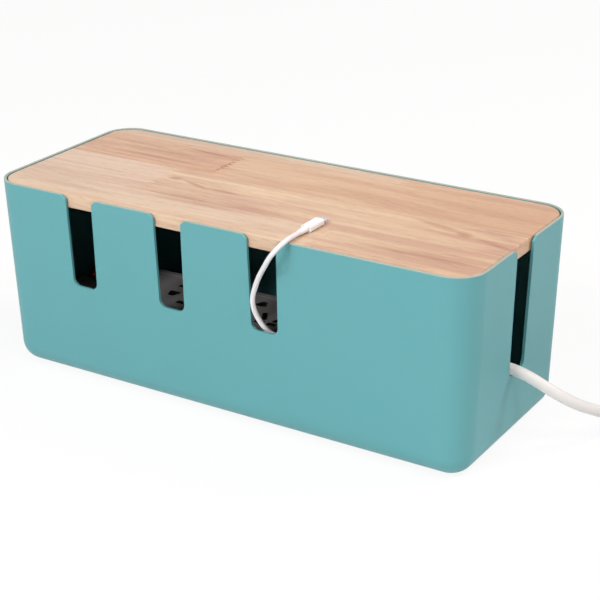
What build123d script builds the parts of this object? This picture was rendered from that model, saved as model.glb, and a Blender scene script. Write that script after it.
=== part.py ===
from build123d import *
import math
import os

# Cable management box: a moulded tub with open-topped cable slots, a lift-off lid of finger-jointed
# wooden staves, and the switched power strip that it holds, with its mains lead and a charging lead.
# Millimetres. +Z is up, the three front slots face -Y and the mains lead leaves through the +X end.
# The origin is at the centre of the footprint, on the surface that the feet stand on.

# --- Tub -------------------------------------------------------------------------------------------
BOX_LENGTH = 385.0          # outside, at the rim
BOX_WIDTH = 155.0           # outside, at the rim
BOX_HEIGHT = 143.8          # underside of the tub to its rim
WALL = 2.0
FLOOR = 2.5
DRAFT_ANGLE = 1.87          # degrees, every side
RIM_CORNER_RADIUS = 21.5    # plan corner at the rim
BASE_EDGE_RADIUS = 15.5     # the large rounding between sides and underside
RIM_ROUND = 0.5             # broken edge along the rim and the slots
CORNER_MARGIN = 0.5         # by which a lower edge's radius stays under the plan corner's
FIT_GAP = 0.1               # all round, where one piece sits in or against another

# --- Cable slots in the tub's wall -----------------------------------------------------------------
FRONT_SLOT_COUNT = 3
FRONT_SLOT_PITCH = 76.3
FRONT_SLOT_SHIFT = -36.3    # X of the row's middle
FRONT_SLOT_WIDTH = 21.1     # at the bottom
FRONT_SLOT_DEPTH = 69.0     # below the rim
END_SLOT_SHIFT = 0.6        # Y of its middle
END_SLOT_WIDTH = 23.0       # at the bottom
END_SLOT_DEPTH = 92.6       # below the rim
SLOT_DRAFT_ANGLE = 0.8      # degrees, each side, opening upwards
SLOT_BOTTOM_RADIUS = 5.5
SLOT_MOUTH_RADIUS = 6.5     # where a panel's top corner turns down into a slot
CUT_MARGIN = 3.0            # how far a cutter runs past what it cuts

# --- Feet ------------------------------------------------------------------------------------------
FOOT_RADIUS = 8.0
FOOT_THICKNESS = 2.0
FOOT_RECESS = 0.8
FOOT_ROUND = 0.5
FOOT_INSET = 26.0           # from the tub's outline at the rim to a foot's centre

# --- Lid and the ledges that carry it --------------------------------------------------------------
LID_THICKNESS = 10.0
LID_GAP = 0.8               # lid to wall, at the rim
LID_RECESS = 0.4            # lid's face below the rim
LID_ARRIS = 1.2
LEDGE_REACH = 6.0
LEDGE_WIDTH = 14.0
LEDGE_LIP = 1.6
LONG_LEDGES_FROM_SLOTS = 38.15   # ledge centre to the nearest slot's centre, along the front
END_LEDGE_SPREAD = 42.0     # ledge centres either side of the middle, on the ends

# --- The lid's staves, counted from the rear --------------------------------------------------------
STAVE_WIDTH = 50.6
REAR_STRIP_WIDTH = 13.7
FINGER_PITCH = 5.0
FINGER_LENGTH = 7.0
REAR_JOINT = 258.0          # each row's finger joint, from the lid's left edge
BACK_JOINT = 127.2
MIDDLE_JOINT = 101.4
FRONT_JOINT = 262.0

# --- Power strip -----------------------------------------------------------------------------------
STRIP_WIDTH = 65.0
STRIP_HEIGHT = 42.5
STRIP_BASE_HEIGHT = 26.8    # underside to the joint between base and cover
STRIP_SHIFT_Y = 7.0
STRIP_END_CLEARANCE = 9.3   # tub's wall at the floor to the strip's left end
STRIP_WALL = 2.0
STRIP_CORNER_RADIUS = 9.0
STRIP_TOP_ROUND = 3.0
STRIP_BOTTOM_ROUND = 2.5
PAD_RADIUS = 6.0
PAD_THICKNESS = 1.5
PAD_INSET = 14.0
GROOVE_INSET = 7.5          # shallow frame line round the socket face
GROOVE_WIDTH = 0.9
GROOVE_DEPTH = 0.5

# --- Sockets, along the strip ------------------------------------------------------------------------
SOCKET_COUNT = 3
SOCKET_PITCH = 69.5
SOCKET_START = 82.5         # strip's left end to the first socket's two-pin holes
TWO_PIN_TO_THREE_PIN = 20.6
TWO_PIN_SPREAD = 19.0       # round pins, centre to centre
FLAT_PIN_SPREAD = 12.7      # flat pins, centre to centre
TWO_PIN_SHIFT_Y = 4.0       # from the strip's middle line
ROUND_HOLE = (5.6, 5.6, 4.8)     # each hole's length and width, and the thickness of its pin
FLAT_HOLE = (8.0, 3.2, 1.6)
SLANTED_HOLE = (11.5, 2.8, 1.6)
EARTH_HOLE = (9.0, 2.8, 1.6)
BLOCK_HOLE = (6.4, 3.6, 3.2)     # for thick rectangular pins
LINE_PIN_SPREAD = 13.7      # live to neutral
LINE_PIN_TILT = 30.0        # degrees
LINE_PIN_SHIFT_Y = -5.6     # from the strip's middle line
EARTH_PIN_RISE = 14.3       # live and neutral to earth
BLOCK_PIN_SPREAD = 10.4     # live to neutral
BLOCK_PIN_DROP = 9.9        # slanted holes to thick-pin holes
LINER_WALL = 0.5            # black lining of every hole
LINER_FLANGE_REACH = 0.8
LINER_FLANGE_THICKNESS = 0.8
LINER_CLEARANCE = 0.05

# --- Brass bars and spring clips under the sockets ---------------------------------------------------
BAR_THICKNESS = 1.0
BAR_WIDTH = 4.0
BAR_OVERHANG = 8.0
CLIP_HEIGHT = 12.0
CLIP_LENGTH = 8.0
CLIP_LEAF = 0.6
CLIP_GRIP = 0.2             # pin's thickness less the clip's opening
CLIP_BELOW_COVER = 1.4
BAR_SHIFTS_Y = {"live": -17.4, "neutral": 7.8, "earth": 26.6}   # from the slanted holes
TAB_WIDTH = 3.0
BAR_RIB_THICKNESS = 2.0

# --- Rocker switch -----------------------------------------------------------------------------------
SWITCH_FROM_END = 12.5      # strip's left end to the switch's middle
SWITCH_BODY_X = 14.0
SWITCH_BODY_Y = 20.0
SWITCH_BODY_DEPTH = 17.0
BEZEL_LIP = 1.0
BEZEL_HEIGHT = 1.5
BEZEL_CHAMFER = 0.5
ROCKER_WIDTH = 11.0
ROCKER_HALF_LENGTH = 7.6
ROCKER_FOOT_HALF_LENGTH = 6.5
ROCKER_GAP = 0.3
ROCKER_THROW = 24.0         # degrees between on and off
ROCKER_CREST = 2.6          # pivot to the middle of the rocker's face
PIVOT_BELOW_BEZEL = 3.2
TRUNNION_RADIUS = 1.2
TRUNNION_LENGTH = 0.8
TRUNNION_CLEARANCE = 0.05
SWITCH_CAVITY_DEPTH = 9.0
TERMINAL_COUNT = 3
TERMINAL_WIDTH = 4.8
TERMINAL_THICKNESS = 0.8
TERMINAL_LENGTH = 7.0
TERMINAL_PITCH = 6.0

# --- USB charging outlets ----------------------------------------------------------------------------
USB_COUNT = 2
USB_PITCH = 9.0
USB_AFTER_SOCKET = 20.11    # last socket's earth hole to the middle of the pair
USB_FROM_END = 14.0         # strip's right end to the middle of the pair
USB_INNER_X = 5.12
USB_INNER_Y = 12.5
USB_SHELL = 0.3
USB_DEPTH = 12.0
USB_TONGUE_X = 1.6
USB_TONGUE_Y = 11.0
USB_TONGUE_OFFSET = 0.95
USB_BOARD_X = 17.0
USB_BOARD_Y = 18.0
USB_BOARD_THICKNESS = 1.6

# --- Screws ------------------------------------------------------------------------------------------
SCREW_RADIUS = 1.25
SCREW_HEAD_RADIUS = 2.6
SCREW_HEAD_HEIGHT = 1.8
SCREW_ENGAGEMENT = 7.0
SCREW_CLEARANCE = 0.05
POST_RADIUS = 3.4
POST_INSET = 6.6            # from the strip's outline to a screw post's centre
SCREW_SEAT = 2.0            # material under a screw's head

# --- Mains lead --------------------------------------------------------------------------------------
MAINS_DIAMETER = 8.0
GLAND_SHIFT_Y = -15.0       # from the strip's middle line
GLAND_OUTSIDE = 20.0
GLAND_FLANGE = 1.6
GLAND_FLANGE_RADIUS = 7.4
GLAND_NECK_RADIUS = 5.6
GLAND_TAPER = (6.0, 4.7)    # radius at the flange and at the tip
GLAND_GROOVES = 4
GLAND_GROOVE_WIDTH = 1.2
GLAND_WEB = 0.42            # left between a groove and the cord
GRIP_LENGTH = 6.0           # ribs that hold the cord down inside the end wall
BEND_SHARE = 0.45           # of the shorter run beside it, taken by each bend
COIL_CENTRE = (292.5, 96.0)
COIL_TURN_RADII = (38.0, 46.0)
COIL_LAYERS = 3
COIL_LAYER_RISE = 8.1
TIE_WIDTH = 6.0
TIE_THICKNESS = 1.2
TIE_CLEARANCE = 0.2
MAINS_ROUTE = [
    (88.0, -8.0, 32.0), (131.2, -8.0, 32.0), (150.2, -8.6, 43.6), (165.0, -8.2, 54.6),
    (181.8, -6.9, 58.8), (199.0, -5.4, 55.6), (216.5, -0.4, 45.2), (228.3, 12.2, 33.4),
    (237.1, 28.1, 24.2), (243.5, 45.0, 14.5), (246.3, 60.5, 7.0), (246.5, 77.0, 4.1),
    (246.5, 94.0, 4.1),
]
TAIL_ROUTE = [
    (338.5, 97.0, 12.2), (339.2, 80.0, 12.2), (343.0, 61.5, 8.6), (347.3, 43.5, 7.6), (350.0, 26.0, 13.0),
    (350.0, 9.0, 13.0),
]

# --- Mains plug, lying beside the coil ----------------------------------------------------------------
PLUG_WIDTH = 36.0
PLUG_THICKNESS = 26.0
PLUG_LENGTH = 30.0
PLUG_CORNER = 8.0
PLUG_SHOULDER_RADIUS = 4.0
PLUG_FACE_CHAMFER = 1.0
PLUG_RELIEF_LENGTH = 24.0
PLUG_RELIEF_RADII = (6.5, 4.8)
PLUG_PIN_LENGTH = 17.0
PLUG_PIN_WIDTH = 6.3
PLUG_PIN_THICKNESS = 1.6
PLUG_PIN_RISE = 4.0         # live and neutral above the plug's axis

# --- Charging lead ------------------------------------------------------------------------------------
LEAD_DIAMETER = 3.5
CONNECTOR_BASE = (60.4, -54.5)    # on the lid
CONNECTOR_HEADING = 90.0    # degrees from +X
CONNECTOR_LENGTH = 16.5
CONNECTOR_WIDTH = 8.0
CONNECTOR_THICKNESS = 5.0
CONNECTOR_EDGE_RADIUS = 2.0
CONNECTOR_RELIEF = 9.0
CONNECTOR_TIP_LENGTH = 6.6
CONNECTOR_TIP_WIDTH = 6.7
CONNECTOR_TIP_THICKNESS = 1.6
CONNECTOR_TIP_RADIUS = 0.75
LEAD_RELIEF_RADII = (2.4, 1.95)
USB_PLUG_X = 4.5
USB_PLUG_Y = 12.0
USB_PLUG_REACH = 11.0
USB_PLUG_TONGUE_X = 1.6
USB_PLUG_BODY_X = 7.6
USB_PLUG_BODY_Y = 15.6
USB_PLUG_BODY_LENGTH = 21.0
USB_PLUG_CORNER = 2.0
USB_PLUG_SHOULDER_RADIUS = 1.5
USB_PLUG_STANDOFF = 0.8
USB_PLUG_RELIEF = 10.0
USB_PLUG_LEAD_OUT = 11.0
LEAD_ROUTE = [
    (60.4, -71.3, 147.2), (61.4, -79.0, 147.8), (59.3, -85.9, 144.7), (54.7, -89.7, 138.1),
    (48.6, -87.1, 129.1), (42.3, -84.1, 120.1), (37.5, -81.8, 110.6), (33.7, -79.9, 100.9),
    (32.9, -76.7, 91.1), (35.4, -72.8, 81.2), (39.7, -67.9, 72.2), (47.1, -59.7, 68.0),
    (55.4, -51.1, 66.0), (63.0, -42.5, 67.5), (68.5, -33.5, 74.0), (71.3, -25.6, 82.8),
    (73.0, -18.2, 90.5), (75.4, -10.8, 98.3), (78.8, -0.4, 98.3),
]

# --- Worked out from the sizes above ------------------------------------------------------------------
DRAFT = math.tan(math.radians(DRAFT_ANGLE))
BASE_Z = FOOT_THICKNESS - FOOT_RECESS
RIM_Z = BASE_Z + BOX_HEIGHT
FLOOR_Z = BASE_Z + FLOOR
LID_TOP_Z = RIM_Z - LID_RECESS
LEDGE_Z = LID_TOP_Z - LID_THICKNESS
LID_LENGTH = BOX_LENGTH - 2 * (WALL + LID_GAP)
LID_WIDTH = BOX_WIDTH - 2 * (WALL + LID_GAP)
FRONT_SLOTS_X = [
    FRONT_SLOT_SHIFT + (index - (FRONT_SLOT_COUNT - 1) / 2) * FRONT_SLOT_PITCH
    for index in range(FRONT_SLOT_COUNT)
]

STRIP_LEFT = -(BOX_LENGTH / 2 - WALL - BOX_HEIGHT * DRAFT) + STRIP_END_CLEARANCE
STRIP_BOTTOM_Z = FLOOR_Z + PAD_THICKNESS
STRIP_TOP_Z = STRIP_BOTTOM_Z + STRIP_HEIGHT
STRIP_JOINT_Z = STRIP_BOTTOM_Z + STRIP_BASE_HEIGHT
COVER_UNDERSIDE_Z = STRIP_TOP_Z - STRIP_WALL
TWO_PIN_X = [STRIP_LEFT + SOCKET_START + index * SOCKET_PITCH for index in range(SOCKET_COUNT)]
THREE_PIN_X = [x + TWO_PIN_TO_THREE_PIN for x in TWO_PIN_X]
USB_CENTRE_X = THREE_PIN_X[-1] + USB_AFTER_SOCKET
STRIP_RIGHT = USB_CENTRE_X + USB_FROM_END
STRIP_LENGTH = STRIP_RIGHT - STRIP_LEFT
STRIP_CENTRE_X = (STRIP_LEFT + STRIP_RIGHT) / 2
USB_X = [USB_CENTRE_X + (index - (USB_COUNT - 1) / 2) * USB_PITCH for index in range(USB_COUNT)]
SWITCH_X = STRIP_LEFT + SWITCH_FROM_END
TWO_PIN_Y = STRIP_SHIFT_Y + TWO_PIN_SHIFT_Y
LINE_PIN_Y = STRIP_SHIFT_Y + LINE_PIN_SHIFT_Y
EARTH_PIN_Y = LINE_PIN_Y + EARTH_PIN_RISE
BLOCK_PIN_Y = LINE_PIN_Y - BLOCK_PIN_DROP
GLAND_Y = STRIP_SHIFT_Y + GLAND_SHIFT_Y
GRIP_X = STRIP_RIGHT - STRIP_WALL - GLAND_FLANGE - FIT_GAP - GRIP_LENGTH


def drafted_block(length, width, height, corner_radius, edge_radius):
    """A block standing on the XY plane that widens upwards by the draft, with a rounded lower edge."""
    inset = height * DRAFT
    plan = RectangleRounded(length - 2 * inset, width - 2 * inset, corner_radius - inset)
    block = extrude(plan, amount=height, taper=-DRAFT_ANGLE)
    lower_edges = block.faces().sort_by(Axis.Z)[0].edges()
    return fillet(lower_edges, min(edge_radius, corner_radius - inset - CORNER_MARGIN))


def slot_half_width(width, depth, height):
    """Half the width of a drafted slot at a height, which is 0 at its mouth and negative below it."""
    return width / 2 + (depth + height) * math.tan(math.radians(SLOT_DRAFT_ANGLE))


def slot_outline(width, depth):
    """A cable slot seen square on, with its mouth at Y = 0: rounded bottom, and corners turned outwards."""
    slot = Polyline(
        (-width / 2, -depth), (width / 2, -depth), (slot_half_width(width, depth, CUT_MARGIN), CUT_MARGIN),
        (-slot_half_width(width, depth, CUT_MARGIN), CUT_MARGIN), close=True,
    )
    slot = fillet(make_face(slot).vertices().group_by(Axis.Y)[0], SLOT_BOTTOM_RADIUS)
    # each mouth corner is a circle that touches the rim's line and the slot's leaning side
    lean = math.radians(SLOT_DRAFT_ANGLE)
    centre_x = slot_half_width(width, depth, -SLOT_MOUTH_RADIUS) + SLOT_MOUTH_RADIUS / math.cos(lean)
    touch_y = -SLOT_MOUTH_RADIUS * (1 + math.sin(lean))
    mouth = Pos(0, (CUT_MARGIN + touch_y) / 2) * Rectangle(2 * centre_x, CUT_MARGIN - touch_y)
    for side in (-1, 1):
        mouth -= Pos(side * centre_x, -SLOT_MOUTH_RADIUS) * Circle(SLOT_MOUTH_RADIUS)
        mouth -= Pos(side * centre_x, touch_y) * Rectangle(2 * SLOT_MOUTH_RADIUS, SLOT_MOUTH_RADIUS)
    return slot + mouth


def slot_cutter(width, depth, outward, centre):
    """A slot's cutter through one wall; outward is the wall's normal, centre the mouth on the wall."""
    across = Vector(0, 0, 1).cross(Vector(*outward))
    plane = Plane(origin=centre, x_dir=across, z_dir=outward)
    reach = BOX_HEIGHT * DRAFT + WALL + CUT_MARGIN
    return extrude(plane * slot_outline(width, depth), amount=reach, both=True)


def ledge(angle, distance, offset):
    """A moulded bracket under the lid, on the wall that faces angle, at offset along that wall."""
    root = distance + WALL / 2
    tip = distance - LEDGE_REACH
    profile = Polyline(
        (root, 0), (tip, 0), (tip, -LEDGE_LIP), (root, -LEDGE_LIP - LEDGE_REACH - WALL / 2), close=True
    )
    upright = Plane(origin=(0, LEDGE_WIDTH / 2, 0), x_dir=(1, 0, 0), z_dir=(0, -1, 0))
    bracket = extrude(upright * make_face(profile), amount=LEDGE_WIDTH)
    return Pos(0, 0, LEDGE_Z) * Rot(0, 0, angle) * Pos(0, offset, 0) * bracket


def ledge_places():
    """Each ledge as the angle its wall faces, the wall's distance and the offset along the wall."""
    lean = (RIM_Z - LEDGE_Z) * DRAFT
    side = BOX_WIDTH / 2 - WALL - lean
    end = BOX_LENGTH / 2 - WALL - lean
    first = FRONT_SLOTS_X[0] - LONG_LEDGES_FROM_SLOTS
    along = [first + index * FRONT_SLOT_PITCH for index in range(FRONT_SLOT_COUNT + 2)]
    places = [(-90, side, x) for x in along]
    places += [(90, side, -x) for x in along]
    for angle in (0, 180):
        places += [(angle, end, -END_LEDGE_SPREAD), (angle, end, END_LEDGE_SPREAD)]
    return places


def foot_places():
    """The four feet's centres, named by their corner."""
    x = BOX_LENGTH / 2 - FOOT_INSET
    y = BOX_WIDTH / 2 - FOOT_INSET
    return {
        "front_left": (-x, -y), "front_right": (x, -y), "rear_left": (-x, y), "rear_right": (x, y),
    }


def make_box_shell():
    """The tub: drafted walls, cable slots, lid ledges and shallow seats for the feet."""
    outside = drafted_block(BOX_LENGTH, BOX_WIDTH, BOX_HEIGHT, RIM_CORNER_RADIUS, BASE_EDGE_RADIUS)
    inside = drafted_block(
        BOX_LENGTH - 2 * WALL, BOX_WIDTH - 2 * WALL, BOX_HEIGHT - FLOOR,
        RIM_CORNER_RADIUS - WALL, BASE_EDGE_RADIUS - WALL,
    )
    shell = Pos(0, 0, BASE_Z) * outside - Pos(0, 0, FLOOR_Z) * inside
    for x in FRONT_SLOTS_X:
        shell -= slot_cutter(FRONT_SLOT_WIDTH, FRONT_SLOT_DEPTH, (0, -1, 0), (x, -BOX_WIDTH / 2, RIM_Z))
    end_mouth = (BOX_LENGTH / 2, END_SLOT_SHIFT, RIM_Z)
    shell -= slot_cutter(END_SLOT_WIDTH, END_SLOT_DEPTH, (1, 0, 0), end_mouth)
    shell = fillet(shell.edges().group_by(Axis.Z)[-1], RIM_ROUND)
    for angle, distance, offset in ledge_places():
        shell += ledge(angle, distance, offset)
    for x, y in foot_places().values():
        shell -= Pos(x, y, BASE_Z + FOOT_RECESS / 2) * Cylinder(FOOT_RADIUS + FIT_GAP, FOOT_RECESS)
    return shell


def make_foot(x, y):
    """A rubber foot: a disc with a rounded tread, seated in its recess."""
    disc = Pos(0, 0, FOOT_THICKNESS / 2) * Cylinder(FOOT_RADIUS, FOOT_THICKNESS)
    tread = disc.edges().sort_by(Axis.Z)[0]
    return Pos(x, y, 0) * fillet(tread, FOOT_ROUND)


def zigzag(joint_x, low_y, high_y):
    """The points of a finger joint across a row of staves, from low_y to high_y."""
    count = max(2, round((high_y - low_y) / FINGER_PITCH)) * 2
    step = (high_y - low_y) / count
    return [
        (joint_x + (FINGER_LENGTH / 2 if index % 2 else -FINGER_LENGTH / 2), low_y + index * step)
        for index in range(count + 1)
    ]


def stave_rows():
    """Each row of staves, rear first: its name, its Y limits and the X of its finger joint."""
    rear = LID_WIDTH / 2
    left = -LID_LENGTH / 2
    seams = [rear - REAR_STRIP_WIDTH, rear - REAR_STRIP_WIDTH - STAVE_WIDTH]
    seams.append(seams[-1] - STAVE_WIDTH)
    return [
        ("rear", seams[0], rear, left + REAR_JOINT),
        ("back", seams[1], seams[0], left + BACK_JOINT),
        ("middle", seams[2], seams[1], left + MIDDLE_JOINT),
        ("front", -rear, seams[2], left + FRONT_JOINT),
    ]


def make_lid_staves():
    """The lid's panel, cut along its seams and finger joints into the staves it is glued up from."""
    corner = RIM_CORNER_RADIUS - WALL - LID_GAP
    panel = extrude(RectangleRounded(LID_LENGTH, LID_WIDTH, corner), LID_THICKNESS)
    faces = panel.faces().sort_by(Axis.Z)
    panel = fillet(faces[0].edges() + faces[-1].edges(), LID_ARRIS)
    staves = {}
    for name, low_y, high_y, joint_x in stave_rows():
        fingers = zigzag(joint_x, low_y, high_y)
        bottom = low_y - (CUT_MARGIN if name == "front" else 0)
        top = high_y + (CUT_MARGIN if name == "rear" else 0)
        for side, edge_x in (("left", -BOX_LENGTH / 2), ("right", BOX_LENGTH / 2)):
            ends = [(fingers[-1][0], top), (edge_x, top), (edge_x, bottom), (fingers[0][0], bottom)]
            outline = fingers + ends
            outline = [point for index, point in enumerate(outline) if point != outline[index - 1]]
            region = extrude(make_face(Polyline(*outline, close=True)), LID_THICKNESS)
            staves[f"stave_{name}_{side}"] = Pos(0, 0, LEDGE_Z) * (panel & region)
    return staves


def strip_block(height, inset, round_below=0.0, round_above=0.0):
    """A block with the strip's outline, drawn in by inset, standing on the XY plane."""
    plan = RectangleRounded(
        STRIP_LENGTH - 2 * inset, STRIP_WIDTH - 2 * inset, STRIP_CORNER_RADIUS - inset
    )
    block = extrude(plan, height)
    if round_below:
        block = fillet(block.faces().sort_by(Axis.Z)[0].edges(), round_below)
    if round_above:
        block = fillet(block.faces().sort_by(Axis.Z)[-1].edges(), round_above)
    return Pos(STRIP_CENTRE_X, STRIP_SHIFT_Y, 0) * block


def screw_places():
    """The strip's screws: one near each corner."""
    x = STRIP_LENGTH / 2 - POST_INSET
    y = STRIP_WIDTH / 2 - POST_INSET
    return [(STRIP_CENTRE_X + i * x, STRIP_SHIFT_Y + j * y) for i in (-1, 1) for j in (-1, 1)]


def upright(x, y, low_z, high_z, radius):
    """A round post or hole from low_z to high_z."""
    return Pos(x, y, (low_z + high_z) / 2) * Cylinder(radius, high_z - low_z)


def gland_hole():
    """The round hole on the joint line that the mains lead's gland sits in."""
    hole = Rot(0, 90, 0) * Cylinder(GLAND_NECK_RADIUS + FIT_GAP, 2 * STRIP_WALL)
    return Pos(STRIP_RIGHT - STRIP_WALL / 2, GLAND_Y, STRIP_JOINT_Z) * hole


def make_strip_base():
    """The strip's lower shell: screw posts, ribs under the brass bars and shelves for lead and board."""
    base = Pos(0, 0, STRIP_BOTTOM_Z) * strip_block(STRIP_BASE_HEIGHT, 0, round_below=STRIP_BOTTOM_ROUND)
    inside_z = STRIP_BOTTOM_Z + STRIP_WALL
    base -= Pos(0, 0, inside_z) * strip_block(STRIP_BASE_HEIGHT, STRIP_WALL)
    base += bar_ribs(inside_z)
    base += board_posts(inside_z)
    base += cord_rib(inside_z, STRIP_JOINT_Z - MAINS_DIAMETER / 2 - FIT_GAP)
    for x, y in screw_places():
        base += upright(x, y, inside_z, STRIP_JOINT_Z, POST_RADIUS)
        base -= upright(x, y, STRIP_BOTTOM_Z, STRIP_JOINT_Z, SCREW_RADIUS + SCREW_CLEARANCE)
        seat_z = STRIP_JOINT_Z - SCREW_SEAT
        base -= upright(x, y, STRIP_BOTTOM_Z, seat_z, SCREW_HEAD_RADIUS + SCREW_CLEARANCE)
    base -= gland_hole()
    return base


def bar_ribs(floor_z):
    """Ribs across the strip's floor, between the sockets, that the three brass bars rest on."""
    low_y = LINE_PIN_Y + min(BAR_SHIFTS_Y.values()) - BAR_WIDTH
    high_y = LINE_PIN_Y + max(BAR_SHIFTS_Y.values()) + BAR_WIDTH
    height = bar_z() - floor_z
    ribs = Part()
    for x in TWO_PIN_X:
        centre = (x + TWO_PIN_TO_THREE_PIN / 2, (low_y + high_y) / 2, floor_z + height / 2)
        ribs += Pos(*centre) * Box(BAR_RIB_THICKNESS, high_y - low_y, height)
    return ribs


def board_posts(floor_z):
    """Two walls that carry the charging outlets' board."""
    height = board_z() - floor_z
    posts = Part()
    for side in (-1, 1):
        y = STRIP_SHIFT_Y + side * (USB_BOARD_Y / 2 - STRIP_WALL)
        posts += Pos(USB_CENTRE_X, y, floor_z + height / 2) * Box(USB_BOARD_X / 2, STRIP_WALL, height)
    return posts


def cord_rib(low_z, high_z):
    """A rib inside the end wall, under or over the mains lead."""
    rib = Box(GRIP_LENGTH, MAINS_DIAMETER, high_z - low_z)
    return Pos(GRIP_X, GLAND_Y, (low_z + high_z) / 2) * rib


def two_pin_contacts(x):
    """The contacts of a pair of two-pin holes: bar name, centre, the hole's angle with X and its size."""
    places = []
    for bar, side in (("live", -1), ("neutral", 1)):
        places.append((bar, (x, TWO_PIN_Y + side * TWO_PIN_SPREAD / 2), 0, ROUND_HOLE))
        places.append((bar, (x, TWO_PIN_Y + side * FLAT_PIN_SPREAD / 2), 0, FLAT_HOLE))
    return places


def three_pin_contacts(x):
    """The contacts of a group of three-pin holes, as for the two-pin holes."""
    places = [("earth", (x, EARTH_PIN_Y), 90, EARTH_HOLE)]
    for bar, side in (("live", -1), ("neutral", 1)):
        line_x = x + side * LINE_PIN_SPREAD / 2
        block_x = x + side * BLOCK_PIN_SPREAD / 2
        places.append((bar, (line_x, LINE_PIN_Y), 90 - side * LINE_PIN_TILT, SLANTED_HOLE))
        places.append((bar, (block_x, BLOCK_PIN_Y), 0, BLOCK_HOLE))
    return places


def contact_places():
    """Every contact of the strip."""
    places = []
    for two_x, three_x in zip(TWO_PIN_X, THREE_PIN_X):
        places += two_pin_contacts(two_x) + three_pin_contacts(three_x)
    return places


def socket_holes(margin):
    """All plug-pin holes, drawn in plan, each wider by margin all round."""
    holes = Sketch()
    for _, (x, y), angle, hole in contact_places():
        length, width, _ = hole
        if hole == ROUND_HOLE:
            holes += Pos(x, y) * Circle(width / 2 + margin)
        else:
            holes += Pos(x, y) * Rot(0, 0, angle) * Rectangle(length + 2 * margin, width + 2 * margin)
    for x in TWO_PIN_X:
        for side in (-1, 1):
            middle = TWO_PIN_Y + side * (TWO_PIN_SPREAD + FLAT_PIN_SPREAD) / 4
            link = (TWO_PIN_SPREAD - FLAT_PIN_SPREAD) / 2
            holes += Pos(x, middle) * Rectangle(FLAT_HOLE[1] + 2 * margin, link)
    return holes


def make_socket_liners():
    """The black linings of the plug-pin holes: flush with the cover, with a flange under it."""
    height = STRIP_WALL + LINER_FLANGE_THICKNESS
    holes = extrude(socket_holes(0), height)
    collars = extrude(socket_holes(LINER_WALL), height)
    flanges = extrude(socket_holes(LINER_WALL + LINER_FLANGE_REACH), LINER_FLANGE_THICKNESS)
    liners = Pos(0, 0, STRIP_TOP_Z - height) * (collars + flanges - holes)
    return list(liners.solids())


def make_strip_cover():
    """The strip's upper shell: socket holes, openings for switch and outlets, and screw bosses."""
    height = STRIP_HEIGHT - STRIP_BASE_HEIGHT
    cover = strip_block(height, 0, round_above=STRIP_TOP_ROUND)
    cover -= strip_block(height - STRIP_WALL, STRIP_WALL)
    for x, y in screw_places():
        cover += upright(x, y, 0, height - STRIP_WALL, POST_RADIUS)
        cover -= upright(x, y, 0, SCREW_ENGAGEMENT + SCREW_CLEARANCE, SCREW_RADIUS + SCREW_CLEARANCE)
    cover += cord_rib(MAINS_DIAMETER / 2 + FIT_GAP, height - STRIP_WALL)
    cuts = socket_holes(LINER_WALL + LINER_CLEARANCE)
    switch_opening = Rectangle(SWITCH_BODY_X + 2 * FIT_GAP, SWITCH_BODY_Y + 2 * FIT_GAP)
    cuts += Pos(SWITCH_X, STRIP_SHIFT_Y) * switch_opening
    port_x = USB_INNER_X + 2 * (USB_SHELL + FIT_GAP)
    port_y = USB_INNER_Y + 2 * (USB_SHELL + FIT_GAP)
    for x in USB_X:
        cuts += Pos(x, STRIP_SHIFT_Y) * Rectangle(port_x, port_y)
    cover -= Pos(0, 0, height - STRIP_WALL - CUT_MARGIN / 2) * extrude(cuts, STRIP_WALL + CUT_MARGIN)
    cover -= Pos(0, 0, height - GROOVE_DEPTH) * frame_groove()
    return Pos(0, 0, STRIP_JOINT_Z) * cover - gland_hole()


def frame_groove():
    """The shallow line that frames the socket face."""
    low_x = SWITCH_X + SWITCH_BODY_X / 2 + GROOVE_INSET
    high_x = USB_X[0] - USB_PITCH / 2 - GROOVE_WIDTH
    length = high_x - low_x
    width = STRIP_WIDTH - 2 * GROOVE_INSET
    radius = STRIP_CORNER_RADIUS - STRIP_TOP_ROUND
    ring = RectangleRounded(length, width, radius)
    ring -= RectangleRounded(length - 2 * GROOVE_WIDTH, width - 2 * GROOVE_WIDTH, radius - GROOVE_WIDTH)
    return Pos((low_x + high_x) / 2, STRIP_SHIFT_Y, 0) * extrude(ring, GROOVE_DEPTH + CUT_MARGIN)


def bar_z():
    """The underside of the brass bars."""
    return COVER_UNDERSIDE_Z - CLIP_BELOW_COVER - CLIP_HEIGHT - BAR_THICKNESS


def board_z():
    """The underside of the charging outlets' board."""
    return STRIP_TOP_Z - USB_DEPTH - USB_BOARD_THICKNESS


def spring_clip(angle, opening):
    """A folded brass clip that grips one plug pin: a base and two leaves, slot along angle."""
    gap = opening + CLIP_LEAF
    clip = Pos(0, 0, CLIP_LEAF / 2) * Box(CLIP_LENGTH, gap + CLIP_LEAF, CLIP_LEAF)
    for side in (-1, 1):
        clip += Pos(0, side * gap / 2, CLIP_HEIGHT / 2) * Box(CLIP_LENGTH, CLIP_LEAF, CLIP_HEIGHT)
    return Rot(0, 0, angle) * clip


def make_bar(name):
    """One brass bar with a tab and a spring clip for each of its contacts."""
    bar_y = LINE_PIN_Y + BAR_SHIFTS_Y[name]
    low_x = TWO_PIN_X[0] - BAR_OVERHANG
    high_x = THREE_PIN_X[-1] + BAR_OVERHANG
    low_z = bar_z()
    middle_z = low_z + BAR_THICKNESS / 2
    bar = Pos((low_x + high_x) / 2, bar_y, middle_z) * Box(high_x - low_x, BAR_WIDTH, BAR_THICKNESS)
    for owner, (x, y), angle, hole in contact_places():
        if owner != name:
            continue
        reach = abs(y - bar_y) + TAB_WIDTH / 2
        bar += Pos(x, (y + bar_y) / 2, middle_z) * Box(TAB_WIDTH, reach, BAR_THICKNESS)
        bar += Pos(x, y, low_z + BAR_THICKNESS) * spring_clip(angle, hole[2] - CLIP_GRIP)
    return bar


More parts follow.
